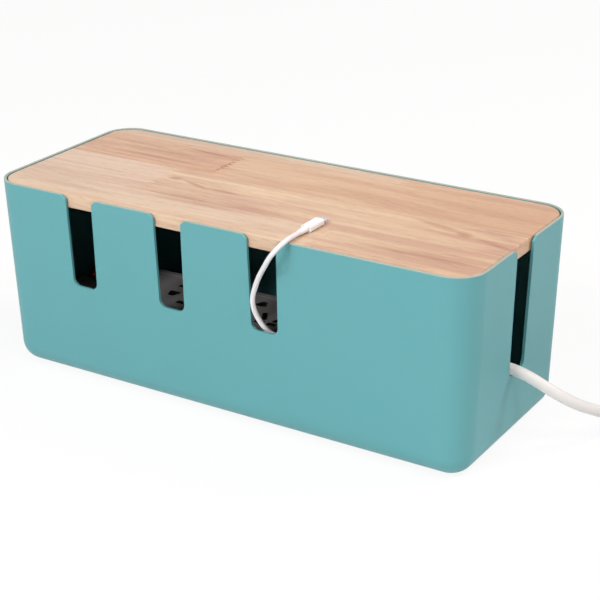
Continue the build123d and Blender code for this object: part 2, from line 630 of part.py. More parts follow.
def switch_pivot_z():
    """The height of the rocker's axis."""
    return STRIP_TOP_Z + BEZEL_HEIGHT - PIVOT_BELOW_BEZEL


def make_switch_housing():
    """The switch's body and bezel, with the well that the rocker turns in."""
    top_z = STRIP_TOP_Z + BEZEL_HEIGHT
    bezel_x = SWITCH_BODY_X + 2 * BEZEL_LIP
    bezel_y = SWITCH_BODY_Y + 2 * BEZEL_LIP
    bezel = extrude(RectangleRounded(bezel_x, bezel_y, BEZEL_LIP), BEZEL_HEIGHT)
    bezel = chamfer(bezel.faces().sort_by(Axis.Z)[-1].edges(), BEZEL_CHAMFER)
    housing = Pos(0, 0, STRIP_TOP_Z) * bezel
    body = Box(SWITCH_BODY_X, SWITCH_BODY_Y, SWITCH_BODY_DEPTH)
    housing += Pos(0, 0, STRIP_TOP_Z - SWITCH_BODY_DEPTH / 2) * body
    well_x = ROCKER_WIDTH + 2 * ROCKER_GAP
    well_y = 2 * (rocker_reach() + ROCKER_GAP)
    well_depth = SWITCH_CAVITY_DEPTH + BEZEL_HEIGHT
    housing -= Pos(0, 0, top_z - well_depth / 2) * Box(well_x, well_y, well_depth)
    hole_length = well_x + 2 * (TRUNNION_LENGTH - ROCKER_GAP + FIT_GAP)
    hole = Rot(0, 90, 0) * Cylinder(TRUNNION_RADIUS + TRUNNION_CLEARANCE, hole_length)
    housing -= Pos(0, 0, switch_pivot_z()) * hole
    return Pos(SWITCH_X, STRIP_SHIFT_Y, 0) * housing


def rocker_rise():
    """The height of the rocker's ends over its axis, in the middle of its throw."""
    return ROCKER_CREST + ROCKER_HALF_LENGTH * math.tan(math.radians(ROCKER_THROW / 2))


def rocker_reach():
    """The furthest that the rocker's ends reach from its axis, along Y, over its throw."""
    rise = rocker_rise()
    radius = math.hypot(ROCKER_HALF_LENGTH, rise)
    lowest = math.atan2(rise, ROCKER_HALF_LENGTH) - math.radians(ROCKER_THROW / 2)
    return radius * math.cos(lowest)


def make_rocker():
    """The red rocker with its two trunnions, pressed down at the front, which is on."""
    profile = Polyline(
        (-ROCKER_HALF_LENGTH, rocker_rise()), (0, ROCKER_CREST), (ROCKER_HALF_LENGTH, rocker_rise()),
        (ROCKER_FOOT_HALF_LENGTH, -ROCKER_CREST), (-ROCKER_FOOT_HALF_LENGTH, -ROCKER_CREST), close=True,
    )
    side_plane = Plane(origin=(-ROCKER_WIDTH / 2, 0, 0), x_dir=(0, 1, 0), z_dir=(1, 0, 0))
    rocker = extrude(side_plane * make_face(profile), amount=ROCKER_WIDTH)
    rocker += Rot(0, 90, 0) * Cylinder(TRUNNION_RADIUS, ROCKER_WIDTH + 2 * TRUNNION_LENGTH)
    return Pos(SWITCH_X, STRIP_SHIFT_Y, switch_pivot_z()) * Rot(ROCKER_THROW / 2, 0, 0) * rocker


def make_switch_terminals():
    """The blades under the switch that its wires push onto."""
    middle_z = STRIP_TOP_Z - SWITCH_BODY_DEPTH - TERMINAL_LENGTH / 2
    blades = []
    for index in range(TERMINAL_COUNT):
        y = STRIP_SHIFT_Y + (index - (TERMINAL_COUNT - 1) / 2) * TERMINAL_PITCH
        blade = Box(TERMINAL_WIDTH, TERMINAL_THICKNESS, TERMINAL_LENGTH)
        blades.append(Pos(SWITCH_X, y, middle_z) * blade)
    return blades


def make_usb_shells():
    """The outlets' folded steel shells, open at the top."""
    shells = []
    for x in USB_X:
        outer = Box(USB_INNER_X + 2 * USB_SHELL, USB_INNER_Y + 2 * USB_SHELL, USB_DEPTH)
        shell = outer - Box(USB_INNER_X, USB_INNER_Y, USB_DEPTH)
        shells.append(Pos(x, STRIP_SHIFT_Y, STRIP_TOP_Z - USB_DEPTH / 2) * shell)
    return shells


def make_usb_tongues():
    """The plastic tongue that stands in each outlet."""
    height = USB_DEPTH - 2 * USB_PLUG_STANDOFF
    return [
        Pos(x + USB_TONGUE_OFFSET, STRIP_SHIFT_Y, STRIP_TOP_Z - USB_DEPTH + height / 2)
        * Box(USB_TONGUE_X, USB_TONGUE_Y, height)
        for x in USB_X
    ]


def make_usb_board():
    """The circuit board that the outlets stand on."""
    board = Box(USB_BOARD_X, USB_BOARD_Y, USB_BOARD_THICKNESS)
    return Pos(USB_CENTRE_X, STRIP_SHIFT_Y, board_z() + USB_BOARD_THICKNESS / 2) * board


def make_strip_screws():
    """The screws that draw the strip's cover down, driven from below."""
    head_top = STRIP_JOINT_Z - SCREW_SEAT
    screws = []
    for x, y in screw_places():
        screw = upright(x, y, head_top - SCREW_HEAD_HEIGHT, head_top, SCREW_HEAD_RADIUS)
        screw += upright(x, y, head_top, STRIP_JOINT_Z + SCREW_ENGAGEMENT, SCREW_RADIUS)
        screws.append(screw)
    return screws


def make_strip_pads():
    """The strip's four rubber pads, standing on the tub's floor."""
    x = STRIP_LENGTH / 2 - PAD_INSET
    y = STRIP_WIDTH / 2 - PAD_INSET
    return [
        upright(STRIP_CENTRE_X + i * x, STRIP_SHIFT_Y + j * y, FLOOR_Z, STRIP_BOTTOM_Z, PAD_RADIUS)
        for i in (-1, 1) for j in (-1, 1)
    ]


def make_cord_gland():
    """The moulded bend protector: a flange each side of the end wall and a grooved, tapering sleeve."""
    bore = MAINS_DIAMETER / 2
    wall = STRIP_WALL + FIT_GAP
    root, tip = GLAND_TAPER
    outline = [(-wall / 2 - GLAND_FLANGE, bore), (-wall / 2 - GLAND_FLANGE, GLAND_FLANGE_RADIUS)]
    outline += [(-wall / 2, GLAND_FLANGE_RADIUS), (-wall / 2, GLAND_NECK_RADIUS)]
    outline += [(wall / 2, GLAND_NECK_RADIUS), (wall / 2, GLAND_FLANGE_RADIUS)]
    outline += [(wall / 2 + GLAND_FLANGE, GLAND_FLANGE_RADIUS), (wall / 2 + GLAND_FLANGE, root)]
    outline += [(wall / 2 + GLAND_OUTSIDE, tip), (wall / 2 + GLAND_OUTSIDE, bore)]
    gland = revolve(Plane.XY * make_face(Polyline(*outline, close=True)), Axis.X)
    pitch = (GLAND_OUTSIDE - GLAND_FLANGE) / (GLAND_GROOVES + 1)
    for index in range(GLAND_GROOVES):
        x = wall / 2 + GLAND_FLANGE + (index + 1) * pitch
        ring = Cylinder(GLAND_FLANGE_RADIUS, GLAND_GROOVE_WIDTH)
        ring -= Cylinder(bore + GLAND_WEB, GLAND_GROOVE_WIDTH)
        gland -= Pos(x, 0, 0) * Rot(0, 90, 0) * ring
    return Pos(STRIP_RIGHT - STRIP_WALL / 2, GLAND_Y, STRIP_JOINT_Z) * gland


def cord_tube(name, route, diameter):
    """A round cord along straight runs joined by arcs as large as the runs allow."""
    points = [Vector(*point) for point in route]
    runs = [after - before for before, after in zip(points, points[1:])]
    radii = []
    for before, after in zip(runs, runs[1:]):
        half_turn = math.radians(before.get_angle(after)) / 2
        radii.append(BEND_SHARE * min(before.length, after.length) / math.tan(half_turn))
    path = FilletPolyline(*points, radius=radii)
    section = Plane(origin=points[0], z_dir=runs[0]) * Circle(diameter / 2)
    tube = sweep(section, path=path.wire())
    expected = math.pi * diameter ** 2 / 4 * path.length
    print(f"{name}: length {path.length:.1f} mm, volume ratio {tube.volume / expected:.4f}")
    print("  radii", " ".join(f"{radius:.1f}" for radius in radii))
    return tube


def make_mains_coil():
    """The outer form of the put-away length: a ring as wide and high as its turns."""
    half = MAINS_DIAMETER / 2
    inner = COIL_TURN_RADII[0] - half
    outer = COIL_TURN_RADII[-1] + half
    height = COIL_LAYERS * COIL_LAYER_RISE
    section = Pos((inner + outer) / 2, height / 2) * RectangleRounded(outer - inner, height, half)
    ring = revolve(Plane.XZ * section, Axis.Z)
    return Pos(*COIL_CENTRE, 0) * ring


def make_coil_tie():
    """The strap round the coil's turns."""
    half = MAINS_DIAMETER / 2 + TIE_CLEARANCE
    inner_x = COIL_TURN_RADII[0] - half
    outer_x = COIL_TURN_RADII[-1] + half
    height = COIL_LAYERS * COIL_LAYER_RISE + TIE_CLEARANCE
    length = outer_x - inner_x
    inner = Box(length, TIE_WIDTH, height)
    outer = Box(length + 2 * TIE_THICKNESS, TIE_WIDTH, height + TIE_THICKNESS)
    outer = fillet(outer.edges().filter_by(Axis.Y), TIE_THICKNESS)
    tie = Pos(0, 0, (height + TIE_THICKNESS) / 2) * outer - Pos(0, 0, height / 2) * inner
    x, y = COIL_CENTRE
    return Pos(x, y, 0) * Rot(0, 0, 90) * Pos((inner_x + outer_x) / 2, 0, 0) * tie


def plug_place():
    """The mains plug's frame: its axis leaves the cord's end and points away from it."""
    x, y, z = TAIL_ROUTE[-1]
    return Pos(x, y, z) * Rot(90, 0, 0)


def make_plug_body():
    """The moulded plug with its tapering sleeve, along +Z of its own frame, pins to follow."""
    root, tip = PLUG_RELIEF_RADII
    sleeve = Cone(tip, root, PLUG_RELIEF_LENGTH, align=(Align.CENTER, Align.CENTER, Align.MIN))
    body = extrude(RectangleRounded(PLUG_WIDTH, PLUG_THICKNESS, PLUG_CORNER), PLUG_LENGTH)
    body = fillet(body.faces().sort_by(Axis.Z)[0].edges(), PLUG_SHOULDER_RADIUS)
    body = chamfer(body.faces().sort_by(Axis.Z)[-1].edges(), PLUG_FACE_CHAMFER)
    plug = sleeve + Pos(0, 0, PLUG_RELIEF_LENGTH) * body
    return plug_place() * plug


def make_plug_pins():
    """Live and neutral blades, turned towards each other, and the upright earth blade."""
    standing = (Align.CENTER, Align.CENTER, Align.MIN)
    blade = Box(PLUG_PIN_THICKNESS, PLUG_PIN_WIDTH, PLUG_PIN_LENGTH, align=standing)
    face = Pos(0, 0, PLUG_RELIEF_LENGTH + PLUG_LENGTH)
    half = LINE_PIN_SPREAD / 2
    places = [
        Pos(-half, PLUG_PIN_RISE, 0) * Rot(0, 0, -LINE_PIN_TILT),
        Pos(half, PLUG_PIN_RISE, 0) * Rot(0, 0, LINE_PIN_TILT),
        Pos(0, PLUG_PIN_RISE - EARTH_PIN_RISE, 0),
    ]
    return [plug_place() * face * place * blade for place in places]


def connector_place():
    """The phone connector's frame: +X along its heading, its axis half its thickness above the lid."""
    x, y = CONNECTOR_BASE
    return Pos(x, y, LID_TOP_Z + CONNECTOR_THICKNESS / 2 + FIT_GAP) * Rot(0, 0, CONNECTOR_HEADING)


def make_connector_housing():
    """The connector's grip and its bend protector."""
    grip = Box(CONNECTOR_LENGTH, CONNECTOR_WIDTH, CONNECTOR_THICKNESS)
    grip = fillet(grip.edges().filter_by(Axis.X), CONNECTOR_EDGE_RADIUS)
    root, tip = LEAD_RELIEF_RADII
    sleeve = Pos(-CONNECTOR_RELIEF / 2, 0, 0) * Rot(0, 90, 0) * Cone(tip, root, CONNECTOR_RELIEF)
    return connector_place() * (Pos(CONNECTOR_LENGTH / 2, 0, 0) * grip + sleeve)


def make_connector_tip():
    """The connector's metal tip."""
    section = RectangleRounded(CONNECTOR_TIP_WIDTH, CONNECTOR_TIP_THICKNESS, CONNECTOR_TIP_RADIUS)
    face = Plane(origin=(CONNECTOR_LENGTH, 0, 0), x_dir=(0, 1, 0), z_dir=(1, 0, 0))
    return connector_place() * extrude(face * section, CONNECTOR_TIP_LENGTH)


def make_usb_plug_body():
    """The lead's other plug: its grip and bend protector, standing over the first outlet."""
    low_z = STRIP_TOP_Z + USB_PLUG_STANDOFF
    section = RectangleRounded(USB_PLUG_BODY_X, USB_PLUG_BODY_Y, USB_PLUG_CORNER)
    grip = extrude(section, USB_PLUG_BODY_LENGTH)
    grip = fillet(grip.faces().sort_by(Axis.Z)[-1].edges(), USB_PLUG_SHOULDER_RADIUS)
    root, tip = LEAD_RELIEF_RADII
    sleeve = Pos(0, 0, USB_PLUG_BODY_LENGTH + USB_PLUG_RELIEF / 2) * Cone(root, tip, USB_PLUG_RELIEF)
    return Pos(USB_X[0], STRIP_SHIFT_Y, low_z) * (grip + sleeve)


def make_usb_plug_shell():
    """The plug's folded steel shell with its contact tongue, inside the outlet."""
    height = USB_PLUG_REACH + USB_PLUG_STANDOFF
    shell = Box(USB_PLUG_X, USB_PLUG_Y, height)
    shell -= Box(USB_PLUG_X - 2 * USB_SHELL, USB_PLUG_Y - 2 * USB_SHELL, height)
    tongue_x = -USB_PLUG_X / 2 + USB_SHELL + USB_PLUG_TONGUE_X / 2
    shell += Pos(tongue_x, 0, 0) * Box(USB_PLUG_TONGUE_X, USB_PLUG_Y - 2 * USB_SHELL, height)
    top_z = STRIP_TOP_Z + USB_PLUG_STANDOFF
    return Pos(USB_X[0], STRIP_SHIFT_Y, top_z - height / 2) * shell


def lead_route():
    """The charging lead's route, from the connector's sleeve to the USB plug's sleeve."""
    heading = math.radians(CONNECTOR_HEADING)
    x, y = CONNECTOR_BASE
    axis_z = LID_TOP_Z + CONNECTOR_THICKNESS / 2 + FIT_GAP
    start = (x - CONNECTOR_RELIEF * math.cos(heading), y - CONNECTOR_RELIEF * math.sin(heading), axis_z)
    plug_top = STRIP_TOP_Z + USB_PLUG_STANDOFF + USB_PLUG_BODY_LENGTH + USB_PLUG_RELIEF
    above = (USB_X[0], STRIP_SHIFT_Y, plug_top + USB_PLUG_LEAD_OUT)
    end = (USB_X[0], STRIP_SHIFT_Y, plug_top)
    return [start] + LEAD_ROUTE + [above, end]


def all_nodes():
    """Every node of the part, by name."""
    nodes = {"box_shell": make_box_shell()}
    for corner, (x, y) in foot_places().items():
        nodes[f"foot_{corner}"] = make_foot(x, y)
    nodes.update(make_lid_staves())
    nodes["strip_base"] = make_strip_base()
    nodes["strip_cover"] = make_strip_cover()
    nodes["strip_pads"] = make_strip_pads()
    nodes["strip_screws"] = make_strip_screws()
    nodes["socket_liners"] = make_socket_liners()
    for name in BAR_SHIFTS_Y:
        nodes[f"{name}_bar"] = make_bar(name)
    nodes["switch_housing"] = make_switch_housing()
    nodes["switch_rocker"] = make_rocker()
    nodes["switch_terminals"] = make_switch_terminals()
    nodes["usb_outlet_shells"] = make_usb_shells()
    nodes["usb_outlet_tongues"] = make_usb_tongues()
    nodes["usb_board"] = make_usb_board()
    nodes["cord_gland"] = make_cord_gland()
    nodes["mains_cord"] = cord_tube("mains_cord", MAINS_ROUTE, MAINS_DIAMETER)
    nodes["mains_coil"] = make_mains_coil()
    nodes["coil_tie"] = make_coil_tie()
    nodes["mains_tail"] = cord_tube("mains_tail", TAIL_ROUTE, MAINS_DIAMETER)
    nodes["plug_body"] = make_plug_body()
    nodes["plug_pins"] = make_plug_pins()
    nodes["charging_lead"] = cord_tube("charging_lead", lead_route(), LEAD_DIAMETER)
    nodes["connector_housing"] = make_connector_housing()
    nodes["connector_tip"] = make_connector_tip()
    nodes["usb_plug_body"] = make_usb_plug_body()
    nodes["usb_plug_shell"] = make_usb_plug_shell()
    return nodes


def main():
    """Build every node and write one STEP file for each."""
    os.makedirs("parts", exist_ok=True)
    for name, shape in all_nodes().items():
        if isinstance(shape, list):
            shape = Compound(children=shape)
        export_step(shape, f"parts/{name}.step")


main()
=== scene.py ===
"""Looks of the cable management box: moulded tub, finger-jointed lid, power strip and its leads."""

import logging
import math
from dataclasses import dataclass, field, replace
from enum import Enum

import bmesh
import bpy
from mathutils import Matrix, Vector


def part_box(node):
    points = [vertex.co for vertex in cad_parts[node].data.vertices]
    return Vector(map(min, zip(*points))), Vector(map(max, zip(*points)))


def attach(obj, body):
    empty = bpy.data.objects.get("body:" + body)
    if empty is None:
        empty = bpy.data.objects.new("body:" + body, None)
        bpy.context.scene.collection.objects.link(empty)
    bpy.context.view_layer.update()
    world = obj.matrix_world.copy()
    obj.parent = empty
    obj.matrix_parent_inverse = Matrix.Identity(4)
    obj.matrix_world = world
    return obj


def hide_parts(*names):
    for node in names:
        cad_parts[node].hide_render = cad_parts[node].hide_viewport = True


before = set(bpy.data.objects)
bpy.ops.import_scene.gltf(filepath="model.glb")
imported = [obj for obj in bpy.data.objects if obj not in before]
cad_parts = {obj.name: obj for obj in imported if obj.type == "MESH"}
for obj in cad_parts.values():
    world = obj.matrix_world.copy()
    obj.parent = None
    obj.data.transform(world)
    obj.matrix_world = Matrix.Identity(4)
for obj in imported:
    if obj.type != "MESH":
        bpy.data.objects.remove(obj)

LOG = logging.getLogger("cable_box")
MM = 0.001
# Metres within which two places are one, and within which a place is on the lid's rounded outline
SAME_PLACE = 1e-7
ON_OUTLINE = 1e-5
# Degrees between two faces from which the edge between them is sharp
SHARP_EDGE = 32
# Sockets of a Mix node for colours: by name, they would be those of its other types
MIX_SHARE, MIX_UNDER, MIX_OVER, MIXED = 0, 6, 7, 2
Point = tuple[float, float, float]
Colour = tuple[float, float, float, float]


def linear(code: str) -> Colour:
    """Turn an sRGB hex colour into the linear colour that a shader takes.

    The numbers are those of the sRGB standard.

    Args:
        code: Six hex digits, with or without a leading hash.

    Returns:
        Red, green, blue and an alpha of one.
    """
    channels = []
    for start in (0, 2, 4):
        value = int(code.lstrip("#")[start:start + 2], 16) / 255
        channels.append(value / 12.92 if value <= 0.04045 else ((value + 0.055) / 1.055) ** 2.4)
    return (*channels, 1.0)


def add_node(
    tree: bpy.types.NodeTree, kind: str, settings: dict[str, object], inputs: dict[str | int, object]
) -> bpy.types.Node:
    """Add one node to a tree, with its settings, constants and links.

    Args:
        tree: The node tree that gets the node.
        kind: The node's type, such as ShaderNodeTexNoise.
        settings: The node's own properties by name.
        inputs: Its sockets by name or number; a socket as value is linked, anything else is set.

    Returns:
        The new node.
    """
    node = tree.nodes.new(kind)
    for name, value in settings.items():
        setattr(node, name, value)
    for name, value in inputs.items():
        if isinstance(value, bpy.types.NodeSocket):
            tree.links.new(value, node.inputs[name])
        else:
            node.inputs[name].default_value = value
    return node


def blank_material(name: str) -> bpy.types.Material:
    """Make a node material with an empty tree.

    Args:
        name: The material's name.

    Returns:
        The material.
    """
    material = bpy.data.materials.new(name)
    material.use_nodes = True
    material.node_tree.nodes.clear()
    return material


def surface(material: bpy.types.Material, shader: bpy.types.Node) -> bpy.types.Material:
    """Link a shader to the material's output and return the material."""
    add_node(material.node_tree, "ShaderNodeOutputMaterial", {}, {"Surface": shader.outputs[0]})
    return material


class Easing(Enum):
    """How a value goes from one end of its range to the other."""

    STRAIGHT = "LINEAR"
    SMOOTH = "SMOOTHSTEP"


@dataclass(frozen=True)
class PaintedRimHighlight:
    """A painted highlight: the pale, warm grey line where light catches a moulding's rim.

    It starts starts_mm below the rim's height, is full from full_mm below it, and covers the colour
    under it by cover.
    """

    height_mm: float
    starts_mm: float = 0.9
    full_mm: float = 0.4
    cover: float = 0.62
    colour: str = "b4a995"


@dataclass(frozen=True)
class MouldedPlastic:
    """A moulded thermoplastic or rubber: an even colour with a faint mottle and a fine spark texture.

    The mottle lies in clouds of cloud_mm. The real texture is about 0.05 mm from peak to peak, too fine
    to show, so grit_mm is several times that. The mottle and the gloss spread say how far colour and
    roughness go to either side of their middle.
    """

    name: str
    colour: str
    roughness: float
    grit_mm: float
    relief: float
    mottle: float = 0.04
    rim: PaintedRimHighlight | None = None
    cloud_mm: float = 80.0
    gloss_spread: float = 0.03
    ior: float = 1.49

    def material(self) -> bpy.types.Material:
        """Build the material.

        Returns:
            The material.
        """
        made = blank_material(self.name)
        tree = made.node_tree
        place = add_node(tree, "ShaderNodeTexCoord", {}, {})
        cloud = add_node(
            tree, "ShaderNodeTexNoise", {},
            {"Vector": place.outputs["Object"], "Scale": 1 / (self.cloud_mm * MM), "Detail": 3.0},
        )
        middle = linear(self.colour)[:3]
        shade = tuple(channel * (1 - self.mottle) for channel in middle)
        light = tuple(min(1.0, channel * (1 + self.mottle)) for channel in middle)
        tint = add_node(
            tree, "ShaderNodeMix", {"data_type": "RGBA"},
            {MIX_SHARE: cloud.outputs["Fac"], MIX_UNDER: (*shade, 1.0), MIX_OVER: (*light, 1.0)},
        )
        # Painted highlight: a pale, warm grey line along the rim
        if self.rim:
            tint = self._paint_rim_highlight(tree, place, tint, self.rim)
        grit = add_node(
            tree, "ShaderNodeTexNoise", {},
            {"Vector": place.outputs["Object"], "Scale": 1 / (self.grit_mm * MM), "Detail": 2.0},
        )
        bump = add_node(
            tree, "ShaderNodeBump", {},
            {"Strength": self.relief, "Distance": self.grit_mm * MM, "Height": grit.outputs["Fac"]},
        )
        gloss = add_node(
            tree, "ShaderNodeMapRange", {},
            {
                "Value": cloud.outputs["Fac"],
                "To Min": self.roughness - self.gloss_spread, "To Max": self.roughness + self.gloss_spread,
            },
        )
        shader = add_node(
            tree, "ShaderNodeBsdfPrincipled", {},
            {
                "Base Color": tint.outputs[MIXED], "Roughness": gloss.outputs[0], "IOR": self.ior,
                "Normal": bump.outputs[0],
            },
        )
        return surface(made, shader)

    @staticmethod
    def _paint_rim_highlight(
        tree: bpy.types.NodeTree, place: bpy.types.Node, tint: bpy.types.Node, rim: PaintedRimHighlight
    ) -> bpy.types.Node:
        """Paint a pale highlight in towards the rim.

        Args:
            tree: The node tree.
            place: The coordinates node.
            tint: The Mix node with the colour below the rim.
            rim: The painted rim highlight.

        Returns:
            The Mix node with the new colour.
        """
        parts = add_node(tree, "ShaderNodeSeparateXYZ", {}, {0: place.outputs["Object"]})
        cover = add_node(
            tree, "ShaderNodeMapRange", {"interpolation_type": Easing.SMOOTH.value},
            {
                "Value": parts.outputs["Z"],
                "From Min": (rim.height_mm - rim.starts_mm) * MM,
                "From Max": (rim.height_mm - rim.full_mm) * MM,
                "To Min": 0.0, "To Max": rim.cover,
            },
        )
        return add_node(
            tree, "ShaderNodeMix", {"data_type": "RGBA"},
            {MIX_SHARE: cover.outputs[0], MIX_UNDER: tint.outputs[MIXED], MIX_OVER: linear(rim.colour)},
        )


@dataclass(frozen=True)
class Figure:
    """One layer of a wood's figure: noise drawn out along the grain.

    Its features are about length_mm long and width_mm wide. Noise below low leaves no mark, noise
    above high marks the wood by depth, and easing says how it goes between the two.
    """

    length_mm: float
    width_mm: float
    detail: float
    wander: float
    low: float
    high: float
    depth: float
    easing: Easing = Easing.SMOOTH


@dataclass(frozen=True)
class Streak:
    """A long brown mark that follows the grain: its middle, half sizes, turn in degrees and depth."""

    x_mm: float
    y_mm: float
    half_length_mm: float
    half_width_mm: float
    turn: float
    depth: float


# The real pores are about 0.2 mm wide, too fine to show, so they are drawn 0.9 mm wide
OPEN_PORES = Figure(
    length_mm=9.0, width_mm=0.9, detail=2.0, wander=0.2, low=0.52, high=0.68, depth=0.22
)


@dataclass(frozen=True)
class LacqueredStave:
    """Lacquered pale hardwood sawn along the grain: soft bands, fine streaks and short open pores.

    The shift takes each stave to another place in the noise, so that no two have the same figure.
    Inside a streak, the colour is full up to core half sizes from its middle and gone at edge, both
    moved in and out by the fine figure times ripple.
    """

    name: str
    pale: str
    dark: str
    shift: float
    streaks: tuple[Streak, ...] = ()
    bands: Figure = Figure(
        length_mm=160.0, width_mm=14.0, detail=3.0, wander=1.2, low=0.34, high=0.68, depth=0.72
    )
    fine: Figure = Figure(
        length_mm=60.0, width_mm=2.6, detail=4.0, wander=0.6, low=0.35, high=0.70, depth=0.44,
        easing=Easing.STRAIGHT,
    )
    pores: Figure = OPEN_PORES
    shift_shares: Point = (1.0, 0.37, 0.11)
    pore_brown: str = "9a6f4e"
    streak_brown: str = "b8764c"
    ripple: float = 1.6
    core: float = 0.9
    edge: float = 1.7
    relief: float = 0.12
    relief_mm: float = 0.05
    roughness: float = 0.42
    ior: float = 1.5
    lacquer: float = 0.15
    lacquer_roughness: float = 0.3

    def material(self) -> bpy.types.Material:
        """Build the material, with the grain along X.

        Returns:
            The material.
        """
        made = blank_material(self.name)
        tree = made.node_tree
        place = add_node(tree, "ShaderNodeTexCoord", {}, {})
        moved = add_node(
            tree, "ShaderNodeMapping", {},
            {
                "Vector": place.outputs["Object"],
                "Location": tuple(self.shift * share for share in self.shift_shares),
            },
        )
        layers = (self.bands, self.fine, self.pores)
        bands, fine, pores = (self._grain(tree, moved, layer) for layer in layers)
        tone = add_node(
            tree, "ShaderNodeMath", {"operation": "ADD", "use_clamp": True},
            {
                0: self._marks(tree, bands, self.bands).outputs[0],
                1: self._marks(tree, fine, self.fine).outputs[0],
            },
        )
        base = add_node(
            tree, "ShaderNodeMix", {"data_type": "RGBA"},
            {MIX_SHARE: tone.outputs[0], MIX_UNDER: linear(self.pale), MIX_OVER: linear(self.dark)},
        )
        marked = add_node(
            tree, "ShaderNodeMix", {"data_type": "RGBA", "blend_type": "MULTIPLY"},
            {
                MIX_SHARE: self._marks(tree, pores, self.pores).outputs[0],
                MIX_UNDER: base.outputs[MIXED], MIX_OVER: linear(self.pore_brown),
            },
        )
        for streak in self.streaks:
            marked = self._stain(tree, place, fine, marked, streak)
        bump = add_node(
            tree, "ShaderNodeBump", {"invert": True},
            {"Strength": self.relief, "Distance": self.relief_mm * MM, "Height": pores.outputs["Fac"]},
        )
        shader = add_node(
            tree, "ShaderNodeBsdfPrincipled", {},
            {
                "Base Color": marked.outputs[MIXED], "Roughness": self.roughness, "IOR": self.ior,
                "Normal": bump.outputs[0], "Coat Weight": self.lacquer,
                "Coat Roughness": self.lacquer_roughness,
            },
        )
        return surface(made, shader)

    @staticmethod
    def _grain(tree: bpy.types.NodeTree, moved: bpy.types.Node, figure: Figure) -> bpy.types.Node:
        """Add a figure's noise, drawn out along X.

        Args:
            tree: The node tree.
            moved: The stave's own coordinates.
            figure: The figure.

        Returns:
            The noise node.
        """
        along, across = 1 / (figure.length_mm * MM), 1 / (figure.width_mm * MM)
        scaled = add_node(
            tree, "ShaderNodeMapping", {}, {"Vector": moved.outputs[0], "Scale": (along, across, across)}
        )
        return add_node(
            tree, "ShaderNodeTexNoise", {},
            {
                "Vector": scaled.outputs[0], "Scale": 1.0, "Detail": figure.detail,
                "Distortion": figure.wander,
            },
        )

    @staticmethod
    def _marks(tree: bpy.types.NodeTree, noise: bpy.types.Node, figure: Figure) -> bpy.types.Node:
        """Read a figure's noise as the depth of its marks.

        Args:
            tree: The node tree.
            noise: The figure's noise.
            figure: The figure.

        Returns:
            The node whose first output is the depth.
        """
        return add_node(
            tree, "ShaderNodeMapRange", {"interpolation_type": figure.easing.value},
            {
                "Value": noise.outputs["Fac"], "From Min": figure.low, "From Max": figure.high,
                "To Min": 0.0, "To Max": figure.depth,
            },
        )

    def _stain(
        self, tree: bpy.types.NodeTree, place: bpy.types.Node, fine: bpy.types.Node, below: bpy.types.Node,
        streak: Streak,
    ) -> bpy.types.Node:
        """Darken the colour inside one streak, whose edges follow the fine figure.

        Args:
            tree: The node tree.
            place: The coordinates node.
            fine: The noise of the fine figure.
            below: The Mix node with the colour under the streak.
            streak: The streak.

        Returns:
            The Mix node with the new colour.
        """
        local = add_node(
            tree, "ShaderNodeMapping", {"vector_type": "TEXTURE"},
            {
                "Vector": place.outputs["Object"],
                "Location": (streak.x_mm * MM, streak.y_mm * MM, 0.0),
                "Rotation": (0.0, 0.0, math.radians(streak.turn)),
                "Scale": (streak.half_length_mm * MM, streak.half_width_mm * MM, 1.0),
            },
        )
        reach = add_node(tree, "ShaderNodeVectorMath", {"operation": "LENGTH"}, {0: local.outputs[0]})
        rough = add_node(
            tree, "ShaderNodeMath", {"operation": "MULTIPLY_ADD"},
            {0: fine.outputs["Fac"], 1: self.ripple, 2: reach.outputs["Value"]},
        )
        cover = add_node(
            tree, "ShaderNodeMapRange", {"interpolation_type": Easing.SMOOTH.value},
            {
                "Value": rough.outputs[0], "From Min": self.core, "From Max": self.edge,
                "To Min": streak.depth, "To Max": 0.0,
            },
        )
        return add_node(
            tree, "ShaderNodeMix", {"data_type": "RGBA", "blend_type": "MULTIPLY"},
            {
                MIX_SHARE: cover.outputs[0], MIX_UNDER: below.outputs[MIXED],
                MIX_OVER: linear(self.streak_brown),
            },
        )


@dataclass(frozen=True)
class SheetMetal:
    """Stamped or turned metal, bare or plated, whose polish is a little uneven.

    The polish changes over patches of patch_mm, from smoother to rougher than its middle.
    """

    name: str
    colour: str
    roughness: float
    patch_mm: float = 2.5
    smoother: float = 0.06
    rougher: float = 0.08

    def material(self) -> bpy.types.Material:
        """Build the material.

        Returns:
            The material.
        """
        made = blank_material(self.name)
        tree = made.node_tree
        place = add_node(tree, "ShaderNodeTexCoord", {}, {})
        polish = add_node(
            tree, "ShaderNodeTexNoise", {},
            {"Vector": place.outputs["Object"], "Scale": 1 / (self.patch_mm * MM), "Detail": 3.0},
        )
        gloss = add_node(
            tree, "ShaderNodeMapRange", {},
            {
                "Value": polish.outputs["Fac"],
                "To Min": self.roughness - self.smoother, "To Max": self.roughness + self.rougher,
            },
        )
        shader = add_node(
            tree, "ShaderNodeBsdfPrincipled", {},
            {"Base Color": linear(self.colour), "Metallic": 1.0, "Roughness": gloss.outputs[0]},
        )
        return surface(made, shader)


